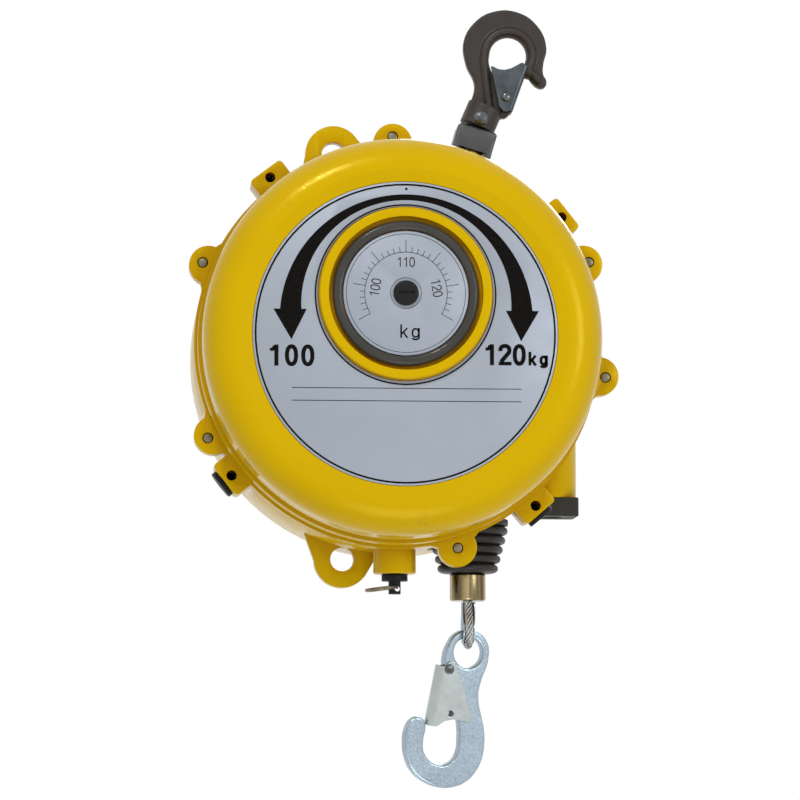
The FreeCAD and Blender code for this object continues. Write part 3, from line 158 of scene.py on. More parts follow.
class BalancerSizes(bpy.types.PropertyGroup):
    casing_edge: length("Casing edges", "Rounding of the painted castings' edges", 1.1)
    steel_edge: length("Steel edges", "Rounding of machined edges", 0.5)
    ink_height: length("Ink height", "Thickness of the print", 0.10)
    label_line: length("Label line", "Radius of the line round the label", 107.4)
    arrow_tip: length("Arrow half width", "Half the width of an arrow's head", 11.9)
    numeral: length("Numerals", "Height of the label's numerals", 15.1)
    dial_numeral: length("Dial numerals", "Height of the dial's numerals", 6.9)
    dial_arc: length("Dial arc", "Radius of the dial's scale arc", 29.6)
    dial_steps: IntProperty(name="Dial steps", description="Scale steps from one numeral to the next",
                            default=10, min=2)
    rope_strands: IntProperty(name="Rope strands", description="Strands laid round the rope's core",
                              default=6, min=3)
    lay_length: length("Lay length", "Length in which a strand goes once round the rope", 24)


# ---------------------------------------------------------------- mesh tools
def placed(name, data):
    """A new object in the scene."""
    item = bpy.data.objects.new(name, data)
    bpy.context.scene.collection.objects.link(item)
    return item


def closed(bm, name="Piece"):
    mesh = bpy.data.meshes.new(name)
    bm.to_mesh(mesh)
    bm.free()
    return mesh


def mesh_of(bm, matrix=None):
    """Close a bmesh into a mesh, carried into the shared frame."""
    if matrix is not None:
        bmesh.ops.transform(bm, matrix=matrix, verts=bm.verts)
    bmesh.ops.recalc_face_normals(bm, faces=bm.faces)
    return closed(bm)


def taken(helper):
    """The mesh that a helper object shows; the helper goes."""
    graph = bpy.context.evaluated_depsgraph_get()
    mesh = bpy.data.meshes.new_from_object(helper.evaluated_get(graph))
    bpy.data.objects.remove(helper)
    return mesh


def worked(mesh, *steps):
    """Run modifiers over a mesh and keep the result."""
    helper = placed("Work", mesh)
    for kind, settings in steps:
        modifier = helper.modifiers.new(kind, kind)
        for key, value in settings.items():
            setattr(modifier, key, value)
    return taken(helper)


def spoke(radius, turn, x=0.0, y=0.0):
    """The point at a radius and an angle from a centre."""
    return x + radius * math.cos(turn), y + radius * math.sin(turn)


EASED_FROM = math.radians(34)
THIN_SHEET_EDGE = 0.0002


def bevel(width, segments):
    return ("BEVEL", {"width": width, "segments": segments, "limit_method": "ANGLE",
                      "angle_limit": EASED_FROM, "miter_outer": "MITER_ARC"})


def smooth(mesh, angle=38):
    mesh.shade_smooth()
    mesh.set_sharp_from_angle(angle=math.radians(angle))
    return mesh


def add_piece(name, mesh, body, slot, finish, *replaced):
    """Put a finished mesh into the scene, riding on its body."""
    item = placed(name, mesh)
    mesh.materials.clear()
    mesh.materials.append(material(finish))
    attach(item, body)
    if replaced:
        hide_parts(*replaced)


def printed(name, mesh, body):
    add_piece(name, mesh, body, "black_plastic", "Printed ink")


def node_copy(node):
    """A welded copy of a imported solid, its flat faces in one piece."""
    bm = bmesh.new()
    bm.from_mesh(frame["nodes"][node].data)
    bmesh.ops.remove_doubles(bm, verts=bm.verts, dist=0.00002)
    bmesh.ops.dissolve_limit(bm, angle_limit=math.radians(0.6), verts=bm.verts, edges=bm.edges)
    return closed(bm, node)


def eased_node(node, body, slot, finish, width, segments=2, sharp=40, ending="finished"):
    """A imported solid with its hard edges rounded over."""
    mesh = worked(node_copy(node), bevel(width, segments))
    add_piece(f"{node}_{ending}", smooth(mesh, sharp), body, slot, finish, node)


def run_together(meshes, matrix, grain, rounds, keep=0.45):
    """Pieces drawn in millimetres made one body, with every edge and hollow softened."""
    mesh = worked(joined(*meshes),
                  ("REMESH", {"mode": "VOXEL", "voxel_size": grain, "use_smooth_shade": True}),
                  ("SMOOTH", {"factor": 0.5, "iterations": rounds}), ("DECIMATE", {"ratio": keep}))
    mesh.transform(matrix)
    mesh.shade_smooth()
    return mesh


def plate(outline, half, edge, holes=(), centre=0.0, handle="AUTO"):
    """A flat piece across the local Y axis: a closed (x, z) outline and round holes, in mm."""
    data = bpy.data.curves.new("Outline", "CURVE")
    data.dimensions = "2D"
    data.fill_mode = "BOTH"
    data.extrude = half - edge
    data.bevel_depth = edge
    data.bevel_resolution = 3
    data.offset = -edge
    rounds = [[spoke(radius, math.tau * step / 8, x, z) for step in range(8)] for x, z, radius in holes]
    for points, kind in [(outline, handle)] + [(ring, "AUTO") for ring in rounds]:
        line = data.splines.new("BEZIER")
        line.bezier_points.add(len(points) - 1)
        for point, (x, z) in zip(line.bezier_points, points):
            point.co = (x, z, -centre)
            point.handle_left_type = point.handle_right_type = kind
        line.use_cyclic_u = True
    mesh = taken(placed("Outline", data))
    mesh.transform(UPRIGHT)
    bm = bmesh.new()
    bm.from_mesh(mesh)
    bmesh.ops.remove_doubles(bm, verts=bm.verts, dist=0.002)
    return mesh_of(bm)


def channel_bend(top, foot, half, radius, gauge, hand):
    """The bend of a folded latch: its two corners and the web between them, from top to foot."""
    def section(out, corner):
        quarter = [math.radians(90 * step / 6) for step in range(7)]
        near = [(corner * math.sin(turn), -out + corner * (1 - math.cos(turn))) for turn in quarter]
        return near + [(x, -y) for x, y in reversed(near)]
    bm = bmesh.new()
    ends = []
    for x, z in (top, foot):
        ends.append([[bm.verts.new((x + hand * out, y, z)) for out, y in section(*size)]
                     for size in ((half, radius), (half - gauge, radius - gauge))])
    (top_outer, top_inner), (foot_outer, foot_inner) = ends
    last = len(top_outer) - 1
    for step in range(last):
        for one, two in ((top_outer, foot_outer), (top_inner, foot_inner),
                         (top_outer, top_inner), (foot_outer, foot_inner)):
            bm.faces.new((one[step], one[step + 1], two[step + 1], two[step]))
    for step in (0, last):
        bm.faces.new((top_outer[step], foot_outer[step], foot_inner[step], top_inner[step]))
    return mesh_of(bm)


def lathed(profile, matrix, segments=96):
    """Turn (radius, height) points about the local Z axis."""
    bm = bmesh.new()
    rings = []
    for radius, height in profile:
        if radius < 1e-6:
            rings.append([bm.verts.new((0, 0, height))])
        else:
            rings.append([bm.verts.new((*spoke(radius, math.tau * step / segments), height))
                          for step in range(segments)])
    pairs = list(zip(rings, rings[1:]))
    if len(rings[0]) > 1 and len(rings[-1]) > 1:
        pairs.append((rings[-1], rings[0]))
    for low, high in pairs:
        for step in range(segments):
            after = (step + 1) % segments
            corners = [low[step % len(low)], low[after % len(low)],
                       high[after % len(high)], high[step % len(high)]]
            unique = list(dict.fromkeys(corners))
            if len(unique) > 2:
                bm.faces.new(unique)
    return mesh_of(bm, matrix)


def heading(points, index):
    """Direction of a path at one of its points."""
    return (points[min(index + 1, len(points) - 1)] - points[max(index - 1, 0)]).normalized()


def skinned(bm, rings, matrix):
    """Close rings of corners into a bar with an end face at each end."""
    count = len(rings[0])
    for low, high in zip(rings, rings[1:]):
        for step in range(count):
            after = (step + 1) % count
            bm.faces.new((low[step], low[after], high[after], high[step]))
    bm.faces.new(rings[0])
    bm.faces.new(rings[-1])
    return mesh_of(bm, matrix)


def swept(path, radius, matrix, sides):
    """A round bar along points."""
    bm = bmesh.new()
    points = [Vector(point) for point in path]
    rings, normal = [], None
    for index, point in enumerate(points):
        along = heading(points, index)
        if normal is None:
            normal = along.orthogonal().normalized()
        normal = (normal - along * normal.dot(along)).normalized()
        across = along.cross(normal)
        turns = [math.tau * step / sides for step in range(sides)]
        rings.append([bm.verts.new(point + (normal * math.cos(turn) + across * math.sin(turn)) * radius)
                      for turn in turns])
    return skinned(bm, rings, matrix)


def raised(shapes, matrix):
    """Flat shapes, each a list of corners or a strip of corner pairs, raised into thin solids."""
    bm = bmesh.new()
    for shape in shapes:
        if isinstance(shape[0][0], (tuple, list)):
            for (a, b), (c, d) in zip(shape, shape[1:]):
                bm.faces.new([bm.verts.new((*corner, 0)) for corner in (a, b, d, c)])
        else:
            bm.faces.new([bm.verts.new((*corner, 0)) for corner in shape])
    bmesh.ops.remove_doubles(bm, verts=bm.verts, dist=0.0001)
    grown = bmesh.ops.extrude_face_region(bm, geom=bm.faces[:])
    top = [item for item in grown["geom"] if isinstance(item, bmesh.types.BMVert)]
    ink_height = bpy.context.scene.balancer_sizes.ink_height / MM
    bmesh.ops.translate(bm, verts=top, vec=(0, 0, ink_height))
    return mesh_of(bm, matrix)


def ring_strip(x, y, inner, outer, start=0.0, end=360.0, steps=96):
    """A ring, or part of one, as a strip of corner pairs."""
    strip = []
    for step in range(steps + 1):
        turn = math.radians(start + (end - start) * step / steps)
        strip.append((spoke(inner, turn, x, y), spoke(outer, turn, x, y)))
    return strip


def bar_shape(x1, y1, x2, y2, width):
    along = Vector((x2 - x1, y2 - y1)).normalized()
    side = Vector((-along.y, along.x)) * width / 2
    return [(x1 + side.x, y1 + side.y), (x2 + side.x, y2 + side.y),
            (x2 - side.x, y2 - side.y), (x1 - side.x, y1 - side.y)]


def stroke(points, width):
    """A line of even width as a strip of corner pairs."""
    points = [Vector(point) for point in points]
    strip = []
    for index, point in enumerate(points):
        before = (point - points[index - 1]).normalized() if index else None
        after = (points[index + 1] - point).normalized() if index < len(points) - 1 else None
        along = ((before or after) + (after or before)).normalized()
        side = Vector((-along.y, along.x))
        straight = before or after
        stretch = 1 / max(0.5, side.dot(Vector((-straight.y, straight.x))))
        reach = side * width / 2 * stretch
        strip.append((tuple(point + reach), tuple(point - reach)))
    return strip


def oval(x, y, half_wide, half_tall, start=0.0, end=360.0, steps=28, square=2.25):
    """Points of a slightly squared oval, the form of a numeral's bowl."""
    points = []
    for step in range(steps + 1):
        turn = math.radians(start + (end - start) * step / steps)
        c, s = math.cos(turn), math.sin(turn)
        points.append((x + half_wide * math.copysign(abs(c) ** (2 / square), c),
                       y + half_tall * math.copysign(abs(s) ** (2 / square), s)))
    return points


def glyph(letter, w):
    """One character's strokes in a frame where a numeral is 1 tall, and its advance."""
    if letter == "0":
        return [(oval(0.349, 0.5, 0.313 - w / 2, 0.52 - w / 2), w)], 0.70
    if letter == "1":
        flag = [(0.10, 0.765), (0.235, 0.775), (0.315, 0.94)]
        return [([(0.405, 0), (0.405, 1)], w), (flag, w * 0.75)], 0.70
    if letter == "2":
        top = oval(0.345, 0.72, 0.313 - w / 2, 0.30 - w / 2, 190, -35, 18)
        return [(top + [(0.155, 0.16)], w), ([(0.045, w * 0.43), (0.66, w * 0.43)], w * 0.86)], 0.70
    if letter == "k":
        return [([(w / 2, 0), (w / 2, 1)], w), ([(w * 0.9, 0.30), (0.52, 0.73)], w * 0.9),
                ([(0.24, 0.40), (0.53, 0.0)], w * 0.95)], 0.78
    bowl = oval(0.33, 0.37, 0.30 - w / 2, 0.37 - w / 2)
    tail = oval(0.33, 0.06, 0.315 - w / 2, 0.235 - w * 0.4, 0, -160, 14)
    return [(bowl, w), ([(0.645 - w / 2, 0.74)] + tail, w)], 0.65


def lettering(text, matrix, height, weight, spacing=0.0, squeeze=1.0):
    """Characters as thin solids about the origin; height is a numeral's, in millimetres."""
    strips, pen = [], 0.0
    for letter in text:
        strokes, advance = glyph(letter, weight)
        for points, width in strokes:
            strips.append(stroke([(x + pen, y) for x, y in points], width))
        pen += advance + spacing
    middle_x, wide = (pen - spacing) / 2, height * squeeze
    strips = [[tuple(((x - middle_x) * wide, (y - 0.5) * height) for x, y in pair) for pair in strip]
              for strip in strips]
    return raised(strips, matrix)


def joined(*meshes):
    bm = bmesh.new()
    for mesh in meshes:
        bm.from_mesh(mesh)
    return closed(bm)


# ---------------------------------------------------------------- materials
def shade(tone, factor):
    return tuple(min(1.0, channel * factor) for channel in tone)


class Finish:
    """A node material under construction: a Principled shader in the piece's own coordinates."""

    def __init__(self, name, roughness, metallic=0.0, **sockets):
        self.material = bpy.data.materials.new(name)
        self.material.use_nodes = True
        self.tree = self.material.node_tree
        self.tree.nodes.clear()
        self.shader = self.node("BsdfPrincipled", {"Roughness": roughness, "Metallic": metallic})
        for key, value in sockets.items():
            self.shader.inputs[key.replace("_", " ")].default_value = value
        self.tree.links.new(self.shader.outputs[0], self.node("OutputMaterial").inputs[0])
        self.place = self.node("TexCoord").outputs["Object"]

    def put(self, target, value):
        if isinstance(value, bpy.types.NodeSocket):
            self.tree.links.new(value, target)
        else:
            target.default_value = value

    def node(self, kind, inputs=(), **settings):
        """A new node; each input is a value or another node's output."""
        node = self.tree.nodes.new(f"ShaderNode{kind}")
        for key, value in settings.items():
            setattr(node, key, value)
        for key, value in dict(inputs).items():
            self.put(node.inputs[key], value)
        return node

    def noise(self, scale, detail, rough=0.5, stretch=None):
        place = self.place
        if stretch:
            place = self.node("Mapping", {"Scale": stretch, "Vector": place}).outputs[0]
        return self.node("TexNoise", {"Vector": place, "Scale": scale, "Detail": detail,
                                      "Roughness": rough}).outputs["Fac"]

    def cells(self, scale, output="Color"):
        return self.node("TexVoronoi", {"Vector": self.place, "Scale": scale}).outputs[output]

    def spread(self, value, low, high, to_low=0.0, to_high=1.0):
        return self.node("MapRange", {"Value": value, "From Min": low, "From Max": high,
                                      "To Min": to_low, "To Max": to_high}).outputs[0]

    def sums(self, kind, first, second=0.5):
        return self.node("Math", {0: first, 1: second}, operation=kind).outputs[0]

    def times(self, first, second):
        return self.sums("MULTIPLY", first, second)

    def mixed(self, share, first, second):
        first, second = [tone if isinstance(tone, bpy.types.NodeSocket) else (*tone, 1)
                         for tone in (first, second)]
        return self.node("Mix", {0: share, 6: first, 7: second}, data_type="RGBA").outputs[2]

    def clouds(self, first, second, low, high, *grain):
        """One tone drifting softly into another."""
        return self.mixed(self.spread(self.noise(*grain), low, high), first, second)

    def marks(self, base, tone, share, low, high, *grain):
        """Sparse marks in another tone."""
        return self.mixed(self.times(self.spread(self.noise(*grain), low, high), share), base, tone)

    def dust(self, base, tone, share, grain, edge, patch, low, high):
        """Fine specks that lie in loose patches."""
        specks = self.spread(self.cells(grain, "Distance"), *edge)
        patches = self.spread(self.noise(patch, 2), low, high)
        return self.mixed(self.times(self.times(specks, patches), share), base, tone)

    def hollows(self, distance):
        return self.node("AmbientOcclusion", {"Distance": distance}, samples=6).outputs["AO"]

    def dirt(self, base, tone, distance, low, high):
        """Painted shade: a darker tone laid into the hollows that ambient occlusion finds."""
        return self.mixed(self.spread(self.hollows(distance), low, high, 1.0, 0.0), base, tone)

    def wear(self, base, tone, share, edges, low, high):
        """A tone that shows on rubbed edges."""
        rubbed = self.spread(self.node("NewGeometry").outputs["Pointiness"], *edges)
        patches = self.spread(self.noise(160, 5), low, high)
        return self.mixed(self.times(self.times(rubbed, patches), share), base, tone)

    def relief(self, height, distance, strength):
        normal = self.shader.inputs["Normal"]
        inputs = {"Distance": distance, "Strength": strength, "Height": height}
        if normal.is_linked:
            inputs["Normal"] = normal.links[0].from_socket
        self.put(normal, self.node("Bump", inputs).outputs[0])

    def sheen(self, low, high, *grain):
        """Roughness that drifts between two values."""
        return self.spread(self.noise(*grain), 0.3, 0.7, low, high)

    def done(self, base, roughness):
        self.put(self.shader.inputs["Base Color"], base)
        self.put(self.shader.inputs["Roughness"], roughness)
        return self.material


def layered(name, colours, tone, shades, clouds, gloss, relief=None, marks=(), wear=None, dirt=None,
            dust=None, **sockets):
    """A finish in layers: clouds of a tone, marks, wear, painted shade in hollows and dust over it, fine relief,
    uneven gloss.

    A tone is a colour, the name of one of the scene's colours, or a factor on the finish's own."""
    m = Finish(name, **sockets)
    own = tuple(getattr(colours, tone)) if isinstance(tone, str) else tone

    def toned(value):
        return shade(own, value) if isinstance(value, float) else value

    base = m.clouds(*map(toned, shades), *clouds)
    for mark_tone, *mark in marks:
        base = m.marks(base, toned(mark_tone), *mark)
    for layer, values in ((m.wear, wear), (m.dirt, dirt), (m.dust, dust)):
        if values:
            base = layer(base, *values)
    if relief:
        distance, strength, *grain = relief
        m.relief(m.noise(*grain), distance, strength)
    return m.done(base, m.sheen(*gloss))


def moulded(tone, low, high, grain, depth, coat=0.0):
    """Moulded plastic with a skin grain and dust."""
    return dict(tone=tone, shades=(1.0, 1.35), clouds=(0.35, 0.7, 30, 5), gloss=(low, high, 110, 4),
                dust=((0.25, 0.22, 0.16), 0.5, 420, (0.06, 0.03), 45, 0.56, 0.62),
                relief=(depth, 0.5, grain, 2), roughness=(low + high) / 2, Specular_IOR_Level=0.14,
                Coat_Weight=coat, Coat_Roughness=0.1)


def turned(tone, low, high, grain):
    """Turned or ground metal, its tool marks stretched one way by the grain."""
    return dict(tone=tone, shades=(1.0, 1.3), clouds=(0.35, 0.7, 30, 4), gloss=(low, high, 160, 3),
                marks=((0.4, 0.3, 0.60, 0.70, 140, 6, 0.7),), relief=(0.00004, 0.5, 500, 2, 0.5, grain),
                roughness=0.3, metallic=0.95)


RECIPES = {
    "Label metal": dict(
        tone="plate", shades=(1.0, 1.12), clouds=(0.35, 0.7, 5, 3), gloss=(0.36, 0.50, 90, 4),
        marks=((1.05, 1.0, 0.35, 0.65, 2400, 2),
               ((0.72, 0.74, 0.76), 0.25, 0.66, 0.70, 40, 8, 0.75, (1, 1, 6))),
        relief=(0.00003, 0.6, 1800, 1), roughness=0.42, metallic=0.35, Specular_IOR_Level=0.5),
    "Printed ink": dict(
        tone="print_ink", shades=(1.0, 1.8), clouds=(0.4, 0.7, 700, 3), gloss=(0.36, 0.55, 300, 3),
        roughness=0.55, Specular_IOR_Level=0.03),
    "Bezel plastic": moulded("bezel", 0.16, 0.30, 900, 0.00004, 0.25),
    "Black plastic": moulded("black", 0.32, 0.50, 1200, 0.00005),
    "Cap plastic": moulded("cap", 0.40, 0.58, 800, 0.00008),
    "Forged oxide": dict(
        tone="forged", shades=(1.0, 1.6), clouds=(0.3, 0.7, 22, 5), gloss=(0.38, 0.58, 75, 5),
        marks=(((0.12, 0.09, 0.07), 0.3, 0.62, 0.74, 420, 4),),
        wear=((0.20, 0.18, 0.16), 0.2, (0.53, 0.60), 0.50, 0.64),
        relief=(0.00018, 0.5, 420, 4, 0.6), roughness=0.5, metallic=0.55),
    "Blackened steel": dict(
        tone="block", shades=(1.0, 1.5), clouds=(0.35, 0.7, 18, 4),
        gloss=(0.30, 0.50, 130, 5, 0.6, (1, 1, 5)),
        wear=((0.42, 0.43, 0.44), 1.0, (0.52, 0.58), 0.42, 0.56),
        relief=(0.00006, 0.5, 300, 3, 0.6, (1, 1, 9)), roughness=0.42, metallic=0.8),
    "Latch steel": dict(
        tone=(0.055, 0.066, 0.074), shades=(1.0, (0.11, 0.128, 0.14)), clouds=(0.35, 0.7, 60, 4),
        gloss=(0.26, 0.42, 150, 4), marks=(((0.40, 0.43, 0.45), 0.5, 0.66, 0.74, 260, 7, 0.7),),
        relief=(0.00006, 0.5, 420, 3), roughness=0.34, metallic=0.85),
    "Oiled steel": dict(
        tone=(0.075, 0.08, 0.085), shades=(1.0, (0.17, 0.175, 0.18)), clouds=(0.35, 0.7, 90, 4),
        gloss=(0.14, 0.3, 150, 4), relief=(0.00006, 0.4, 420, 3), roughness=0.2, metallic=1.0),
    # Screw ends: darkened round their rims where ambient occlusion finds the hollow, as painted shade.
    "Screw end": dict(
        tone=(0.15, 0.125, 0.075), shades=(1.0, (0.26, 0.23, 0.155)), clouds=(0.35, 0.7, 120, 5),
        gloss=(0.26, 0.44, 200, 4), dirt=((0.03, 0.022, 0.012), 0.0022, 0.25, 0.8),
        relief=(0.0001, 0.5, 500, 3), roughness=0.34, metallic=0.9),
    "Latch zinc": dict(
        tone=(0.46, 0.51, 0.50), shades=(1.0, 0.86), clouds=(0.35, 0.7, 45, 4),
        gloss=(0.22, 0.36, 120, 4), marks=(((0.24, 0.28, 0.28), 0.45, 0.66, 0.71, 240, 6, 0.7),),
        relief=(0.00008, 0.4, 500, 3, 0.6), roughness=0.24, metallic=0.92),
    # The ferrule's finish: vertical streaks from 0.45 to 2 times the chromate tone are painted reflections.
    "Ferrule chromate": dict(
        tone="chromate", shades=(0.45, 2.0), clouds=(0.36, 0.62, 150, 2, 0.5, (1, 1, 0.03)),
        gloss=(0.12, 0.26, 200, 3, 0.5, (1, 1, 0.1)),
        relief=(0.00004, 0.4, 600, 2, 0.5, (1, 1, 0.08)), roughness=0.2, metallic=1.0),
    "Buffer rubber": dict(
        tone="rubber", shades=(1.0, 1.8), clouds=(0.35, 0.7, 35, 5), gloss=(0.34, 0.52, 80, 4),
        marks=(((0.16, 0.14, 0.12), 0.25, 0.62, 0.72, 240, 6, 0.7),),
        relief=(0.00006, 0.5, 700, 3), roughness=0.42, Specular_IOR_Level=0.25),
    "Turned steel": turned("steel", 0.22, 0.38, (1, 6, 1)),
    "Spring steel": turned("spring", 0.26, 0.42, (1, 0.2, 1)),
    "Bearing bronze": turned("bronze", 0.26, 0.42, (1, 6, 1)),
    "Cast aluminium": turned("cast", 0.34, 0.55, (1, 1, 1)),
}


def enamel(name, colours):
    """Gloss enamel over a casting: orange peel, painted shade in the hollows, grime, scuffs and fine specks."""
    m = Finish(name, 0.22, Specular_IOR_Level=0.34, Specular_Tint=(1.0, 0.82, 0.16, 1))
    cloud = m.noise(9, 3)
    base = m.mixed(m.spread(cloud, 0.3, 0.7), colours.enamel, shade(colours.enamel, 0.93))
    # Painted shade: the enamel turns deep orange where ambient occlusion finds hollows.
    base = m.dirt(base, colours.enamel_painted_shade, 0.020, 0.30, 0.98)
    grime = m.times(m.spread(m.noise(60, 8, 0.7), 0.60, 0.70), m.spread(cloud, 0.45, 0.65))
    base = m.mixed(m.times(grime, 0.35), base, (0.30, 0.20, 0.04))
    scuff = m.spread(m.noise(34, 9, 0.72, (1, 1, 3.0)), 0.69, 0.73)
    base = m.mixed(m.times(scuff, 0.55), base, (0.78, 0.70, 0.42))
    base = m.dust(base, (0.20, 0.12, 0.03), 0.7, 300, (0.05, 0.035), 20, 0.58, 0.64)
    m.relief(m.noise(16, 3), 0.0012, 0.35)
    m.relief(m.noise(420, 3), 0.00034, 0.45)
    return m.done(base, m.sums("ADD", m.sheen(0.16, 0.26, 150, 3), m.times(scuff, 0.3)))


def zinc_plate(name, colours):
    """Bright zinc plate: fine sparkle, faint blue and grey clouds, small bruises."""
    m = Finish(name, 0.28, 0.92)
    base = m.clouds(colours.zinc, shade(colours.zinc, 0.72), 0.35, 0.68, 26, 6, 0.6)
    spangle = m.node("SeparateColor", {0: m.cells(900)})
    base = m.mixed(m.spread(spangle.outputs[0], 0.0, 1.0, 0.0, 0.28), base, shade(colours.zinc, 1.45))
    base = m.marks(base, (0.24, 0.26, 0.28), 0.5, 0.66, 0.70, 150, 7, 0.7)
    m.relief(m.noise(520, 4, 0.6), 0.00012, 0.6)
    return m.done(base, m.spread(spangle.outputs[1], 0.0, 1.0, 0.20, 0.42))


def rope_wire(name, colours):
    """Bright wires, darkened in the lay between them as painted shade."""
    m = Finish(name, 0.32, 0.9)
    # Painted shade: near black where ambient occlusion finds the lay between strands.
    base = m.mixed(m.spread(m.hollows(0.0012), 0.3, 0.9), (0.03, 0.028, 0.022), colours.wire)
    base = m.clouds(base, shade(colours.wire, 1.3), 0.4, 0.7, 500, 3)
    m.relief(m.noise(1500, 2, 0.5, (1, 1, 0.25)), 0.00008, 0.6)
    return m.done(base, m.sheen(0.24, 0.42, 300, 3))


def rope_run(name, colours):
    """Wire rope whose lay is drawn in the finish, so that it stays true as the run grows; the grooves between
    strands are darkened as painted shade.
    """
    m = Finish(name, 0.32, 0.9)
    x, y, z = m.node("SeparateXYZ", {0: m.place}).outputs
    sizes = bpy.context.scene.balancer_sizes
    turn = m.sums("ARCTAN2", m.sums("SUBTRACT", y, ROPE.y), m.sums("SUBTRACT", x, ROPE.x))
    climb = m.times(z, math.tau / sizes.lay_length)
    strand = m.sums("SINE", m.times(m.sums("ADD", turn, climb), float(sizes.rope_strands)))
    strand = m.spread(strand, -1.0, 1.0)
    wires = m.sums("SINE", m.times(m.sums("SUBTRACT", turn, climb), 40.0))
    # Painted shade: near black in the grooves between the drawn strands.
    base = m.mixed(m.spread(strand, 0.05, 0.5), (0.02, 0.02, 0.018), colours.wire)
    base = m.mixed(m.spread(wires, -1.0, 1.0, 0.0, 0.35), base, shade(colours.wire, 0.45))
    m.relief(strand, 0.0012, 0.9)
    return m.done(base, m.sheen(0.26, 0.45, 300, 3))


FINISHES = {"Gloss enamel": enamel, "Zinc plate": zinc_plate,
            "Rope wire": rope_wire, "Rope run": rope_run}


def material(name):
    """The named finish, made once from the scene's colours."""
    known = bpy.data.materials.get(name)
    colours = bpy.context.scene.balancer_colours
    if known:
        return known
    return FINISHES[name](name, colours) if name in FINISHES else layered(name, colours, **RECIPES[name])


# ---------------------------------------------------------------- operators
class PieceOperator:
    bl_options = {"REGISTER", "UNDO"}

    def execute(self, context):
        self.build(context.scene.balancer_sizes)
        return {"FINISHED"}


class BALANCER_OT_casing(PieceOperator, bpy.types.Operator):
    """Round the edges of the painted castings"""
    bl_idname = "balancer.casing"
    bl_label = "Casing"

    def build(self, sizes):
        for node in ("front_cover", "rear_casing"):
            eased_node(node, "casing", "yellow_paint", "Gloss enamel", sizes.casing_edge)


class BALANCER_OT_fasteners(PieceOperator, bpy.types.Operator):
    """Casing screws, boss plugs and the worm column's cap"""
    bl_idname = "balancer.fasteners"
    bl_label = "Fasteners and plugs"

    def build(self, sizes):
        edge = sizes.steel_edge
        eased_node("casing_bolts", "casing", "machine_steel", "Screw end", edge)
        eased_node("boss_plugs", "casing", "black_plastic", "Black plastic", edge * 1.6)
        eased_node("worm_cap", "casing", "cap_plastic", "Cap plastic", edge * 1.6)
        self.boss_shade_discs()

    def boss_shade_discs(self):
        """Painted shade: black discs set part way down the four flange bosses' bores, which run through."""
        depth_share, clearance = 0.3, 0.05
        meshes = []
        for bore in frame["record"]["mounts"]:
            if not bore["name"].startswith("boss_"):
                continue
            x, y, z = bore["pos_m"]
            radius = bore["dims"]["r_mm"] - clearance
            # Each shade disc sits a share of the bore's length in from its front.
            floor = Vector((x, y + bore["dims"]["length_mm"] * MM * depth_share, z))
            profile = [(0, 0), (radius * 0.6, 0.9), (radius, 2.2), (radius, -2), (0, -2)]
            meshes.append(lathed(profile, local(floor, UPRIGHT), 32))
        add_piece("boss_hole_floors", smooth(joined(*meshes)), "casing", "black_plastic", "Black plastic")


class BALANCER_OT_label(PieceOperator, bpy.types.Operator):
    """Label plate and its print: the two arrows, the load numbers and the ruled lines"""
    bl_idname = "balancer.label"
    bl_label = "Label"

    def build(self, sizes):
        eased_node("label_plate", "casing", "label_metal", "Label metal", THIN_SHEET_EDGE)
        flat = facing(AXIS.x, FACE_Y, AXIS.z)
        rim, half_line = sizes.label_line / MM, 0.65
        window = above_axis(DIAL.z) - 0.6
        ruled = [bar_shape(-81.4, y, 83.0, y, 0.5) for y in (-39.7, -48.8)]
        lines = [ring_strip(0, 0, rim - half_line, rim + half_line), ring_strip(0, window, 64.2, 65.3),
                 *ruled, ring_strip(0.5, 104.3, 0.0, 0.9, steps=16)]
        printed("label_lines", raised(lines, flat), "casing")
        self.arrows(sizes, flat)
        tall = sizes.numeral / MM
        for name, text, x, y, size, weight, spacing in (
                ("number_100", "100", -81.7, -16.6, 1, 0.195, 0.07),
                ("number_120", "120", 71.3, -15.0, 1, 0.195, -0.02),
                ("unit", "kg", 95.2, -17.6, 0.65, 0.21, 0.0)):
            place = flat @ Matrix.Translation((x, y, 0))
            printed(f"label_{name}", lettering(text, place, tall * size, weight, spacing), "casing")

    def arrows(self, sizes, flat):
        """Two crescents that thicken from the top down to an arrow head each."""
        foot, head_length, steps = 16.8, 22, 48
        middle_x, reach = 0.6, 83.4
        edges = ((20.7, 75.4), (9.4, 90.9))
        half = sizes.arrow_tip / MM
        shapes = []
        for hand in (-1, 1):
            strip = []
            for step in range(steps + 1):
                pair = []
                for centre_y, radius in edges:
                    end = math.asin((foot - centre_y) / radius)
                    turn = math.pi / 2 + (end - math.pi / 2) * (step / steps)
                    pair.append((middle_x + hand * radius * math.cos(turn),
                                 centre_y + radius * math.sin(turn)))
                strip.append(tuple(pair))
            base = middle_x + hand * reach
            head = [(base - half, foot), (base + half, foot), (base - hand, foot - head_length)]
            shapes += [strip, head]
        printed("label_arrows", raised(shapes, flat), "casing")


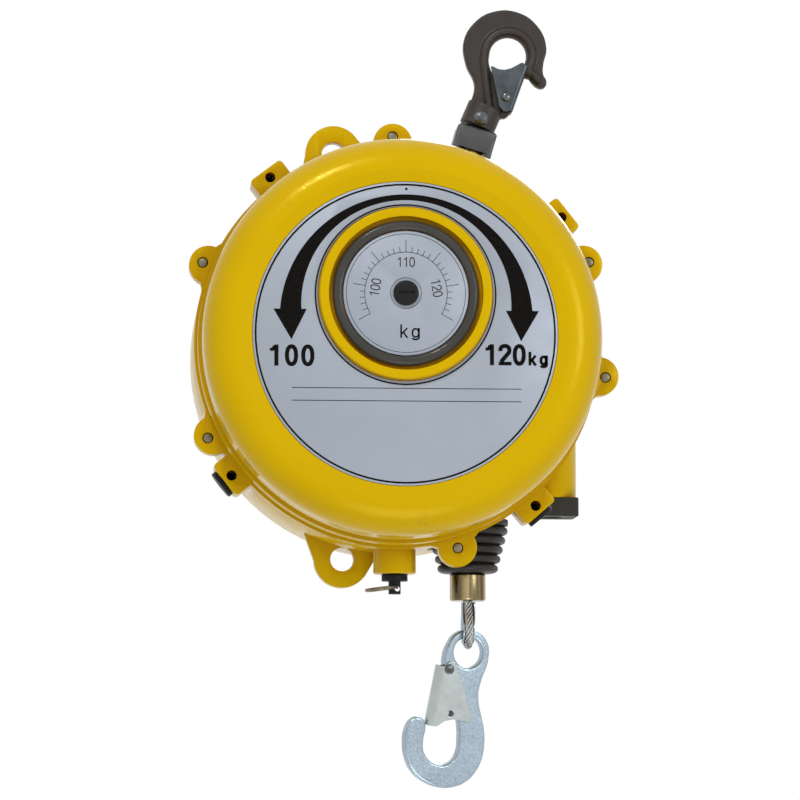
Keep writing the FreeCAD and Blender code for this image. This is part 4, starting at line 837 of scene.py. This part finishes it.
class BALANCER_OT_dial(PieceOperator, bpy.types.Operator):
    """Dial disc with its scale, hub and bezel"""
    bl_idname = "balancer.dial"
    bl_label = "Dial"

    def build(self, sizes):
        eased_node("dial_disc", "dial", "label_metal", "Label metal", THIN_SHEET_EDGE)
        flat = facing(DIAL.x, DISC_Y, DIAL.z)
        arc = sizes.dial_arc / MM
        line = 0.36
        shapes = [ring_strip(0, 0, arc - line / 2, arc + line / 2, -30, 210),
                  ring_strip(0, 0, 10.9, 11.25), ring_strip(0, 0, 42.6, 42.95)]
        for number in range(-2, 3):
            shapes.append(self.mark(90 + 40 * number, arc, 38.5, line))
        step = 80 / sizes.dial_steps
        marks = int(120 / step)
        for number in range(-marks, marks + 1):
            if number % (sizes.dial_steps // 2):
                shapes.append(self.mark(90 + step * number, arc, 33.4, line))
        for angle in (210, -30):
            shapes.append(self.mark(angle, arc - 0.2, 39.0, line))
        printed("dial_scale", raised(shapes, flat), "dial")
        for text, angle in (("100", 170), ("110", 90), ("120", 10)):
            turn = Matrix.Rotation(math.radians(angle - 90), 4, "Z") @ Matrix.Translation((0, 22.4, 0))
            mesh = lettering(text, flat @ turn, sizes.dial_numeral / MM, 0.105, 0.0, 0.92)
            printed(f"dial_number_{text}", mesh, "dial")
        unit_place = flat @ Matrix.Translation((2.9, -27.4, 0))
        printed("dial_unit", lettering("kg", unit_place, 9.6, 0.125, 0.03), "dial")
        eased_node("dial_hub", "dial", "black_plastic", "Black plastic", sizes.steel_edge)
        eased_node("dial_bezel", "casing", "dark_bezel", "Bezel plastic", sizes.steel_edge * 1.6, 3)

    def mark(self, angle, inner, outer, width):
        turn = math.radians(angle)
        return bar_shape(*spoke(inner, turn), *spoke(outer, turn), width)


class BALANCER_OT_rope(PieceOperator, bpy.types.Operator):
    """Rope run, loop with its strands, thimble, ferrule, buffer and guide"""
    bl_idname = "balancer.rope"
    bl_label = "Rope end"

    def build(self, sizes):
        self.run(sizes)
        self.loop(sizes)
        self.thimble()
        # The ferrule's streaked finish is painted reflection.
        eased_node("ferrule", "rope_end", "ferrule_metal", "Ferrule chromate", sizes.steel_edge * 1.4, 3,
                   38, "pressed")
        self.buffer()
        eased_node("rope_guide", "casing", "cap_plastic", "Cap plastic", sizes.steel_edge)

    def run(self, sizes):
        """The straight rope from the drum, with rings enough to stretch evenly."""
        low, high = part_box("rope_lead")
        radius = (high.x - low.x) / 2 / MM
        foot, top = above_axis(low.z), above_axis(high.z)
        rings = 80
        profile = [(radius, foot + (top - foot) * step / rings) for step in range(rings + 1)]
        mesh = lathed([(0, foot)] + profile + [(0, top)], ROPE_LINE, 24)
        item = placed("rope_run", smooth(mesh))
        mesh.materials.append(material("Rope run"))
        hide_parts("rope_lead")
        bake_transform(item)

    def loop_path(self):
        """Middle line of the loop, from one leg in the ferrule round to the other."""
        low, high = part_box("rope_loop")
        rope, straight = 3.1, 9
        radius = (high.y - low.y) / 2 / MM - rope
        start = above_axis(high.z)
        mid = above_axis(low.z) + rope + radius
        gap, neck = rope + 0.6, start - straight
        half = [Vector((0, -gap, start + (neck - start) * step / 8)) for step in range(9)]
        first, last = Vector((0, -gap, neck)), Vector((0, -radius, mid))
        reach = Vector((0, 0, (neck - mid) * 0.42))
        a, b = first - reach, last + reach
        for step in range(1, 25):
            t = step / 24
            half.append(first * (1 - t) ** 3 + a * 3 * t * (1 - t) ** 2
                        + b * 3 * t * t * (1 - t) + last * t ** 3)
        arc = [Vector((0, -radius * math.cos(turn), mid - radius * math.sin(turn)))
               for turn in (math.pi * step / 32 for step in range(1, 32))]
        other = [Vector((0, -point.y, point.z)) for point in reversed(half)]
        return half + arc + other, rope

    def loop(self, sizes):
        path, rope = self.loop_path()
        travelled = [0.0]
        for one, two in zip(path, path[1:]):
            travelled.append(travelled[-1] + (two - one).length)
        goals, points = [], []
        spacing = 0.7
        count = int(travelled[-1] / spacing)
        for step in range(count + 1):
            goal = travelled[-1] * step / count
            index = max(i for i in range(len(path) - 1) if travelled[i] <= goal)
            share = (goal - travelled[index]) / (travelled[index + 1] - travelled[index])
            goals.append(goal)
            points.append(path[index].lerp(path[index + 1], min(share, 1)))
        strand = rope * 0.345
        meshes = [swept(points, rope * 0.5, ROPE_LINE, 8)]
        side = Vector((1, 0, 0))
        for number in range(sizes.rope_strands):
            helix = []
            for index, (goal, point) in enumerate(zip(goals, points)):
                up = heading(points, index).cross(side)
                turn = math.tau * (goal * MM / sizes.lay_length + number / sizes.rope_strands)
                helix.append(point + (side * math.cos(turn) + up * math.sin(turn)) * (rope - strand))
            meshes.append(swept(helix, strand, ROPE_LINE, 8))
        add_piece("rope_loop_laid", smooth(joined(*meshes), 60), "rope_end", "rope_wire", "Rope wire",
                  "rope_loop")

    def thimble(self):
        """A gutter under the rope, all round the loop, whose ends flare out below the ferrule."""
        path, rope = self.loop_path()
        ferrule_low = above_axis(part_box("ferrule")[0].z)
        path = [point for point in path if point.z < ferrule_low - 0.6]
        foot, top = min(point.z for point in path), max(point.z for point in path)
        side = Vector((1, 0, 0))
        bm = bmesh.new()
        rings = []
        for index, point in enumerate(path):
            inward = side.cross(heading(path, index))
            rise = (point.z - foot) / (top - foot)
            ring = []
            for radius, turns in ((rope + 1.1, range(-82, 83, 12)), (rope + 0.35, range(74, -83, -12))):
                for turn in turns:
                    depth, across = spoke(radius, math.radians(turn))
                    across *= 1 + (0.45 if turn > 0 else 0.12) * rise ** 2 * abs(turn) / 82
                    ring.append(bm.verts.new(point + side * across + inward * depth))
            rings.append(ring)
        mesh = skinned(bm, rings, ROPE_LINE)
        add_piece("thimble_pressed", smooth(mesh, 50), "rope_end", "zinc_sheet", "Zinc plate", "thimble")

    def buffer(self):
        """Rubber cone with rounded rings between narrow grooves."""
        low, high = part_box("rubber_buffer")
        foot, top = above_axis(low.z), above_axis(high.z)
        wide, narrow = (high.x - low.x) / 2 / MM, 21.8
        rings = 5
        tall = (top - foot - 5) / rings
        profile = [(4.3, foot), (narrow - 3.5, foot)]
        for ring in range(rings):
            radius = narrow + (wide - narrow) * (ring + 0.45) / (rings - 0.5)
            radius = min(radius, wide - 0.2)
            start = foot + tall * ring
            for step in range(9):
                turn = math.pi * step / 8
                bulge = math.sin(turn) ** 0.55
                profile.append((radius - 2.6 + 2.5 * bulge, start + tall * (0.06 + 0.88 * step / 8)))
            profile.append((radius - 3.2, start + tall * 0.99))
        profile += [(wide - 0.4, top - 4.6), (wide, top - 3.8), (wide, top - 0.6), (wide - 0.6, top),
                    (4.3, top)]
        add_piece("rubber_buffer_moulded", smooth(lathed(profile, ROPE_LINE), 50), "casing",
                  "black_rubber", "Buffer rubber", "rubber_buffer")


class BALANCER_OT_lock(PieceOperator, bpy.types.Operator):
    """Drum lock plunger and its split ring"""
    bl_idname = "balancer.lock"
    bl_label = "Drum lock"

    def build(self, sizes):
        eased_node("lock_plunger", "plunger", "block_steel", "Black plastic", sizes.steel_edge)
        low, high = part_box("split_ring")
        mid = (low + high) / 2
        wire = 0.85
        radius = (high.y - low.y) / 2 / MM - wire
        steps, turns = 144, 2
        path = []
        for step in range(steps + 1):
            turn = math.tau * turns * step / steps
            rise = wire * 1.9 * (0.5 - step / steps)
            path.append((*spoke(radius, turn), rise))
        mesh = swept(path, wire * 0.96, Matrix.Translation(mid) @ lean(-7) @ Matrix.Scale(MM, 4), 10)
        add_piece("split_ring_coiled", smooth(mesh, 60), "ring", "machine_steel", "Screw end",
                  "split_ring")


class BALANCER_OT_hanger(PieceOperator, bpy.types.Operator):
    """Hanger block, its pin and the swivel stud"""
    bl_idname = "balancer.hanger"
    bl_label = "Hanger"

    def build(self, sizes):
        eased_node("hanger_block", "hanger", "block_steel", "Blackened steel", 0.0016, 4)
        eased_node("hook_cross_pin", "upper_hook", "forged_dark", "Blackened steel", 0.0003)
        eased_node("swivel_stud", "swivel", "machine_steel", "Blackened steel", sizes.steel_edge)


def riveted_pin(node, curve, place, body, slot, sharp):
    """A pin headed alike at both ends; the curve runs from its shaft to the middle of a head."""
    profile = [(radius, -height) for radius, height in reversed(curve)] + curve
    pin = smooth(lathed(profile, place, 48), sharp)
    add_piece(f"{node}_riveted", pin, body, slot, "Oiled steel", node)


def folded_latch(node, place, side, holes, bend, half, radius, gauge, hand, grain, slot, finish):
    """A safety latch folded from sheet: two side plates and the bent web between them."""
    pin = place.inverted() @ middle(f"{node}_pin")
    level = half - gauge / 2
    plates = [plate(side, gauge / 2, 0.25, [(pin.x, pin.z, 3.1), *holes], centre, "VECTOR")
              for centre in (-level, level)]
    web = channel_bend(*bend, half, radius, gauge, hand)
    add_piece(f"{node}_folded", run_together([*plates, web], place, grain, 3, 0.35), node, slot, finish,
              node)


class BALANCER_OT_upper_hook(PieceOperator, bpy.types.Operator):
    """Forged upper hook with its inner roll, latch and latch pin"""
    bl_idname = "balancer.upper_hook"
    bl_label = "Upper hook"

    def build(self, sizes):
        outline = [(-11.8, 3), (-12, 13), (-14.6, 23.5), (-26.4, 35), (-35.0, 51), (-33.4, 66.3),
                   (-24.2, 79.6), (-7, 87.2), (11.5, 83.6), (23.9, 71.4), (27, 58), (29.8, 51.6),
                   (34.2, 47.6), (34.4, 43), (29, 41.2), (21.6, 45), (15.8, 51), (14.3, 59.3),
                   (8, 66.6), (-2, 68.7),
                   (-10.8, 64.2), (-14.8, 54.3), (-12.4, 45), (-5, 36), (3.5, 31), (11, 28.6),
                   (15, 24), (15.6, 19.4), (18.2, 15), (17.2, 10.2), (13.4, 7.4), (12, 3)]
        low = min((HOOK.inverted() @ vert.co).z for vert in frame["nodes"]["upper_hook"].data.vertices)
        collar, cavity = 13.5, 8.2
        bowl_up, roll_half = 54.0, 4.4
        path = [(3, 0, 10), (-3.4, 0, 21), (-9.6, 0, 32), (-15.2, 0, 41.5)]
        for step in range(25):
            turn = math.radians(198 - step * 9.1)
            path.append((18.2 * math.cos(turn) - 0.2, 0, bowl_up + 18.4 * math.sin(turn)))
        path += [(22.6, 0, 49.2), (25.8, 0, 46.2), (30.0, 0, 45.4)]
        roll = swept(self.smoothed(path), roll_half, Matrix.Scale(7.3 / roll_half, 4, (0, 1, 0)), 24)
        meshes = [plate(outline, 4.7, 1.5), roll,
                  lathed([(cavity, low), (collar - 0.8, low), (collar, low + 0.8), (collar, 11.0),
                          (collar - 0.8, 11.6), (0, 11.6), (0, 7), (cavity, 7)], Matrix.Identity(4))]
        add_piece("upper_hook_forged", run_together(meshes, HOOK, 0.5, 3), "upper_hook", "forged_dark",
                  "Forged oxide", "upper_hook")
        side = [(-8.9, 39.6), (-8.2, 40.4), (-3, 40.2), (1.4, 41.6), (5.4, 44.6), (9, 49.2), (10.8, 51.6),
                (12.0, 52.2), (15.0, 51.8), (17.4, 20), (16.6, 13.6), (13.4, 12.2), (8.4, 14.6), (5.8, 19)]
        folded_latch("upper_latch", HOOK, side, [], ((14.2, 51.8), (16.8, 14.6)), 9.5, 2.9, 1.5, 1, 0.3,
                     "block_steel", "Latch steel")
        for node, slot, shaft, head, dome, seat in (
                ("hook_cross_pin", "forged_dark", 4.0, 5.7, 3.3, 12.3),
                ("upper_latch_pin", "machine_steel", 2.6, 3.8, 2.2, 9.4)):
            curve = [(head * math.cos(turn), seat + dome * math.sin(turn))
                     for turn in (math.radians(90 * step / 8) for step in range(8))]
            riveted_pin(node, [(shaft, seat), *curve, (0, seat + dome)], local(middle(node), UPRIGHT),
                        "upper_hook", slot, 50)

    def smoothed(self, path):
        points = [Vector(point) for point in path]
        for _ in range(2):
            dense = [points[0]]
            for one, two in zip(points, points[1:]):
                dense += [one.lerp(two, 0.25), one.lerp(two, 0.75)]
            points = dense + [points[-1]]
        return points


class BALANCER_OT_lower_hook(PieceOperator, bpy.types.Operator):
    """Zinc-plated lower hook, its latch and latch pin"""
    bl_idname = "balancer.lower_hook"
    bl_label = "Lower hook"

    def build(self, sizes):
        eye = 16.9
        outline = [(eye, 0), (12, 12), (0, eye), (-12, 12), (-eye, 0), (-16.9, -9), (-15, -15), (-10.5, -22),
                   (-3.7, -31), (3.2, -41.4), (8.8, -52), (12.9, -63.2), (14.4, -72.6), (11.4, -81),
                   (0.6, -85.4), (-10, -80.4), (-13.8, -71), (-14.9, -62), (-17.8, -57.4), (-22.8, -56.2),
                   (-27.2, -59.8), (-29.0, -68), (-27.2, -78), (-22.6, -87.6), (-14.6, -96), (-4.4, -100.3),
                   (7.9, -101.3), (18.9, -97.9), (27.7, -91), (33, -80.8), (34.5, -70.6), (33, -60.4),
                   (30, -51.4), (25.2, -42.6), (20.4, -34.6), (17, -25.8), (16.4, -17)]
        mesh = run_together([plate(outline, 4.5, 1.7, [(0, 0, 11.2)])], LOWER, 0.45, 5)
        add_piece("lower_hook_forged", mesh, "lower_hook", "zinc_sheet", "Zinc plate", "lower_hook")
        side = [(-14.2, -15.4), (-13.6, -11.8), (-11.4, -10.1), (-8.2, -10.2), (-5.4, -12.8), (17.4, -46.2),
                (17.2, -48.6), (15.6, -49.4), (7.8, -49.6), (3.2, -50.4), (-3, -53.6), (-7.4, -58.8),
                (-9.6, -59.8)]
        folded_latch("lower_latch", LOWER, side, [(-0.1, -46.9, 2.3)], ((-14.1, -15.4), (-9.5, -59.8)),
                     6.2, 6.1, 1.2, -1, 0.28, "zinc_sheet", "Latch zinc")
        seat, head = 6.25, 3.7
        curve = [(2.6, seat), (head, seat), (head, seat + 0.5), (head - 0.5, seat + 1.0), (2.4, seat + 0.9),
                 (2.0, seat + 0.5), (1.2, seat + 0.6), (0.8, seat + 1.1), (0, seat + 1.2)]
        place = LOWER @ Matrix.Translation(LOWER.inverted() @ middle("lower_latch_pin")) @ UPRIGHT
        riveted_pin("lower_latch_pin", curve, place, "lower_hook", "machine_steel", 40)


class BALANCER_OT_works(PieceOperator, bpy.types.Operator):
    """Finishes of the inner works: shaft, gears, worm drive, spring, drum and bushes"""
    bl_idname = "balancer.works"
    bl_label = "Inner works"

    def build(self, sizes):
        finishes = {
            "Bearing bronze": ("case_bush", "drum_bush", "shaft_front_bush", "shaft_rear_bush", "worm_bush",
                               "lock_bush", "dial_gear", "worm_wheel"),
            "Turned steel": ("main_shaft", "shaft_pinion", "wheel_collar", "worm", "dial_spindle",
                             "drum_screws", "hanger_pin"),
            "Cast aluminium": ("rope_drum", "spring_case"),
            "Spring steel": ("mainspring",),
            "Rope wire": ("rope_winding",),
        }
        for name, nodes in finishes.items():
            for node in nodes:
                for slot in frame["nodes"][node].material_slots:
                    slot.material = material(name)


LENS, SENSOR, FAR_CLIP = 175.38, 36, 20
CAMERA_PLACE = (AXIS.x - 0.229, -2.871, AXIS.z - 0.3465)
CAMERA_TURN = (math.radians(90) + 0.10753, 0.00097, -0.08132)
# Lamps: place about the casing's axis in metres, size in metres, power in watts, tone
LAMPS = {"Key": ((-0.45, -1.35, 1.35), 0.32, 11, (1.0, 0.985, 0.96)),
         "Fill": ((1.35, -1.7, 0.3), 0.7, 8, (0.98, 0.99, 1.0)),
         "Low": ((0.1, -1.3, -1.3), 0.9, 6, (1, 1, 1)),
         "Rim": ((0.5, 1.2, 0.8), 0.8, 8, (1, 1, 1))}
AMBIENT, WHITE = 0.5, 1.0
FLOOR_GLOW = 0.52
FLOOR_DROP, FLOOR_HALF = 2.4, 12


class BALANCER_OT_stage(PieceOperator, bpy.types.Operator):
    """Camera, white floor and soft studio light"""
    bl_idname = "balancer.stage"
    bl_label = "Stage"

    def build(self, sizes):
        self.camera()
        self.world()
        self.floor()
        for name, lamp in LAMPS.items():
            self.lamp(name, *lamp)

    def camera(self):
        data = bpy.data.cameras.new("Camera")
        data.lens = LENS
        data.sensor_width = SENSOR
        data.clip_end = FAR_CLIP
        item = placed("Camera", data)
        item.location = CAMERA_PLACE
        item.rotation_euler = CAMERA_TURN
        bpy.context.scene.camera = item
        bpy.context.scene.view_settings.view_transform = "Standard"

    def world(self):
        world = bpy.data.worlds.new("Studio")
        bpy.context.scene.world = world
        world.use_nodes = True
        tree = world.node_tree
        background = tree.nodes["Background"]
        background.inputs["Color"].default_value = (1, 1, 1, 1)
        tree.links.new(self.backdrop(tree, AMBIENT, WHITE), background.inputs["Strength"])

    def backdrop(self, tree, lighting, seen):
        """One strength for light on the object, another for what eye, gloss and glass see."""
        path = tree.nodes.new("ShaderNodeLightPath")
        strongest = path.outputs["Is Camera Ray"]
        for name in ("Is Glossy Ray", "Is Transmission Ray"):
            either = tree.nodes.new("ShaderNodeMath")
            either.operation = "MAXIMUM"
            tree.links.new(strongest, either.inputs[0])
            tree.links.new(path.outputs[name], either.inputs[1])
            strongest = either.outputs[0]
        strength = tree.nodes.new("ShaderNodeMapRange")
        strength.inputs["To Min"].default_value = lighting
        strength.inputs["To Max"].default_value = seen
        tree.links.new(strongest, strength.inputs["Value"])
        return strength.outputs[0]

    def floor(self):
        bm = bmesh.new()
        bmesh.ops.create_grid(bm, x_segments=1, y_segments=1, size=FLOOR_HALF)
        mesh = mesh_of(bm, Matrix.Translation((0, 0, CAD_BOX[0][2] - FLOOR_DROP)))
        item = placed("Floor", mesh)
        m = Finish("Studio floor", 0.8, Emission_Color=(1, 1, 1, 1))
        m.put(m.shader.inputs["Emission Strength"], self.backdrop(m.tree, 0.0, FLOOR_GLOW))
        base = m.clouds((0.93, 0.93, 0.93), (0.96, 0.96, 0.96), 0.3, 0.7, 3, 3)
        mesh.materials.append(m.done(base, 0.8))

    def lamp(self, name, offset, size, power, tone):
        data = bpy.data.lights.new(name, "AREA")
        data.shape = "DISK"
        data.size = size
        data.energy = power
        data.color = tone
        item = placed(name, data)
        item.location = Vector((AXIS.x, 0, AXIS.z)) + Vector(offset)
        aim = Vector((AXIS.x, 0, AXIS.z)) - item.location
        item.rotation_euler = aim.to_track_quat("-Z", "Y").to_euler()


class BALANCER_PT_panel(bpy.types.Panel):
    """Lists the balancer's pieces"""
    bl_idname = "BALANCER_PT_panel"
    bl_label = "Tool Balancer"
    bl_space_type = "VIEW_3D"
    bl_region_type = "UI"
    bl_category = "Balancer"

    def draw(self, context):
        for operator in OPERATORS:
            self.layout.operator(operator.bl_idname)
        for group in (context.scene.balancer_sizes, context.scene.balancer_colours):
            box = self.layout.box()
            for name in group.__annotations__:
                box.prop(group, name)


OPERATORS = (BALANCER_OT_stage, BALANCER_OT_casing, BALANCER_OT_fasteners, BALANCER_OT_label,
             BALANCER_OT_dial, BALANCER_OT_rope, BALANCER_OT_lock, BALANCER_OT_hanger,
             BALANCER_OT_upper_hook, BALANCER_OT_lower_hook, BALANCER_OT_works)
CLASSES = (BalancerColours, BalancerSizes, *OPERATORS, BALANCER_PT_panel)


def register():
    for item in CLASSES:
        bpy.utils.register_class(item)
    bpy.types.Scene.balancer_colours = PointerProperty(type=BalancerColours)
    bpy.types.Scene.balancer_sizes = PointerProperty(type=BalancerSizes)


def unregister():
    del bpy.types.Scene.balancer_sizes
    del bpy.types.Scene.balancer_colours
    for item in reversed(CLASSES):
        bpy.utils.unregister_class(item)


def main():
    register()
    for operator in OPERATORS:
        group, name = operator.bl_idname.split(".")
        getattr(getattr(bpy.ops, group), name)()


if __name__ == "__main__":
    main()
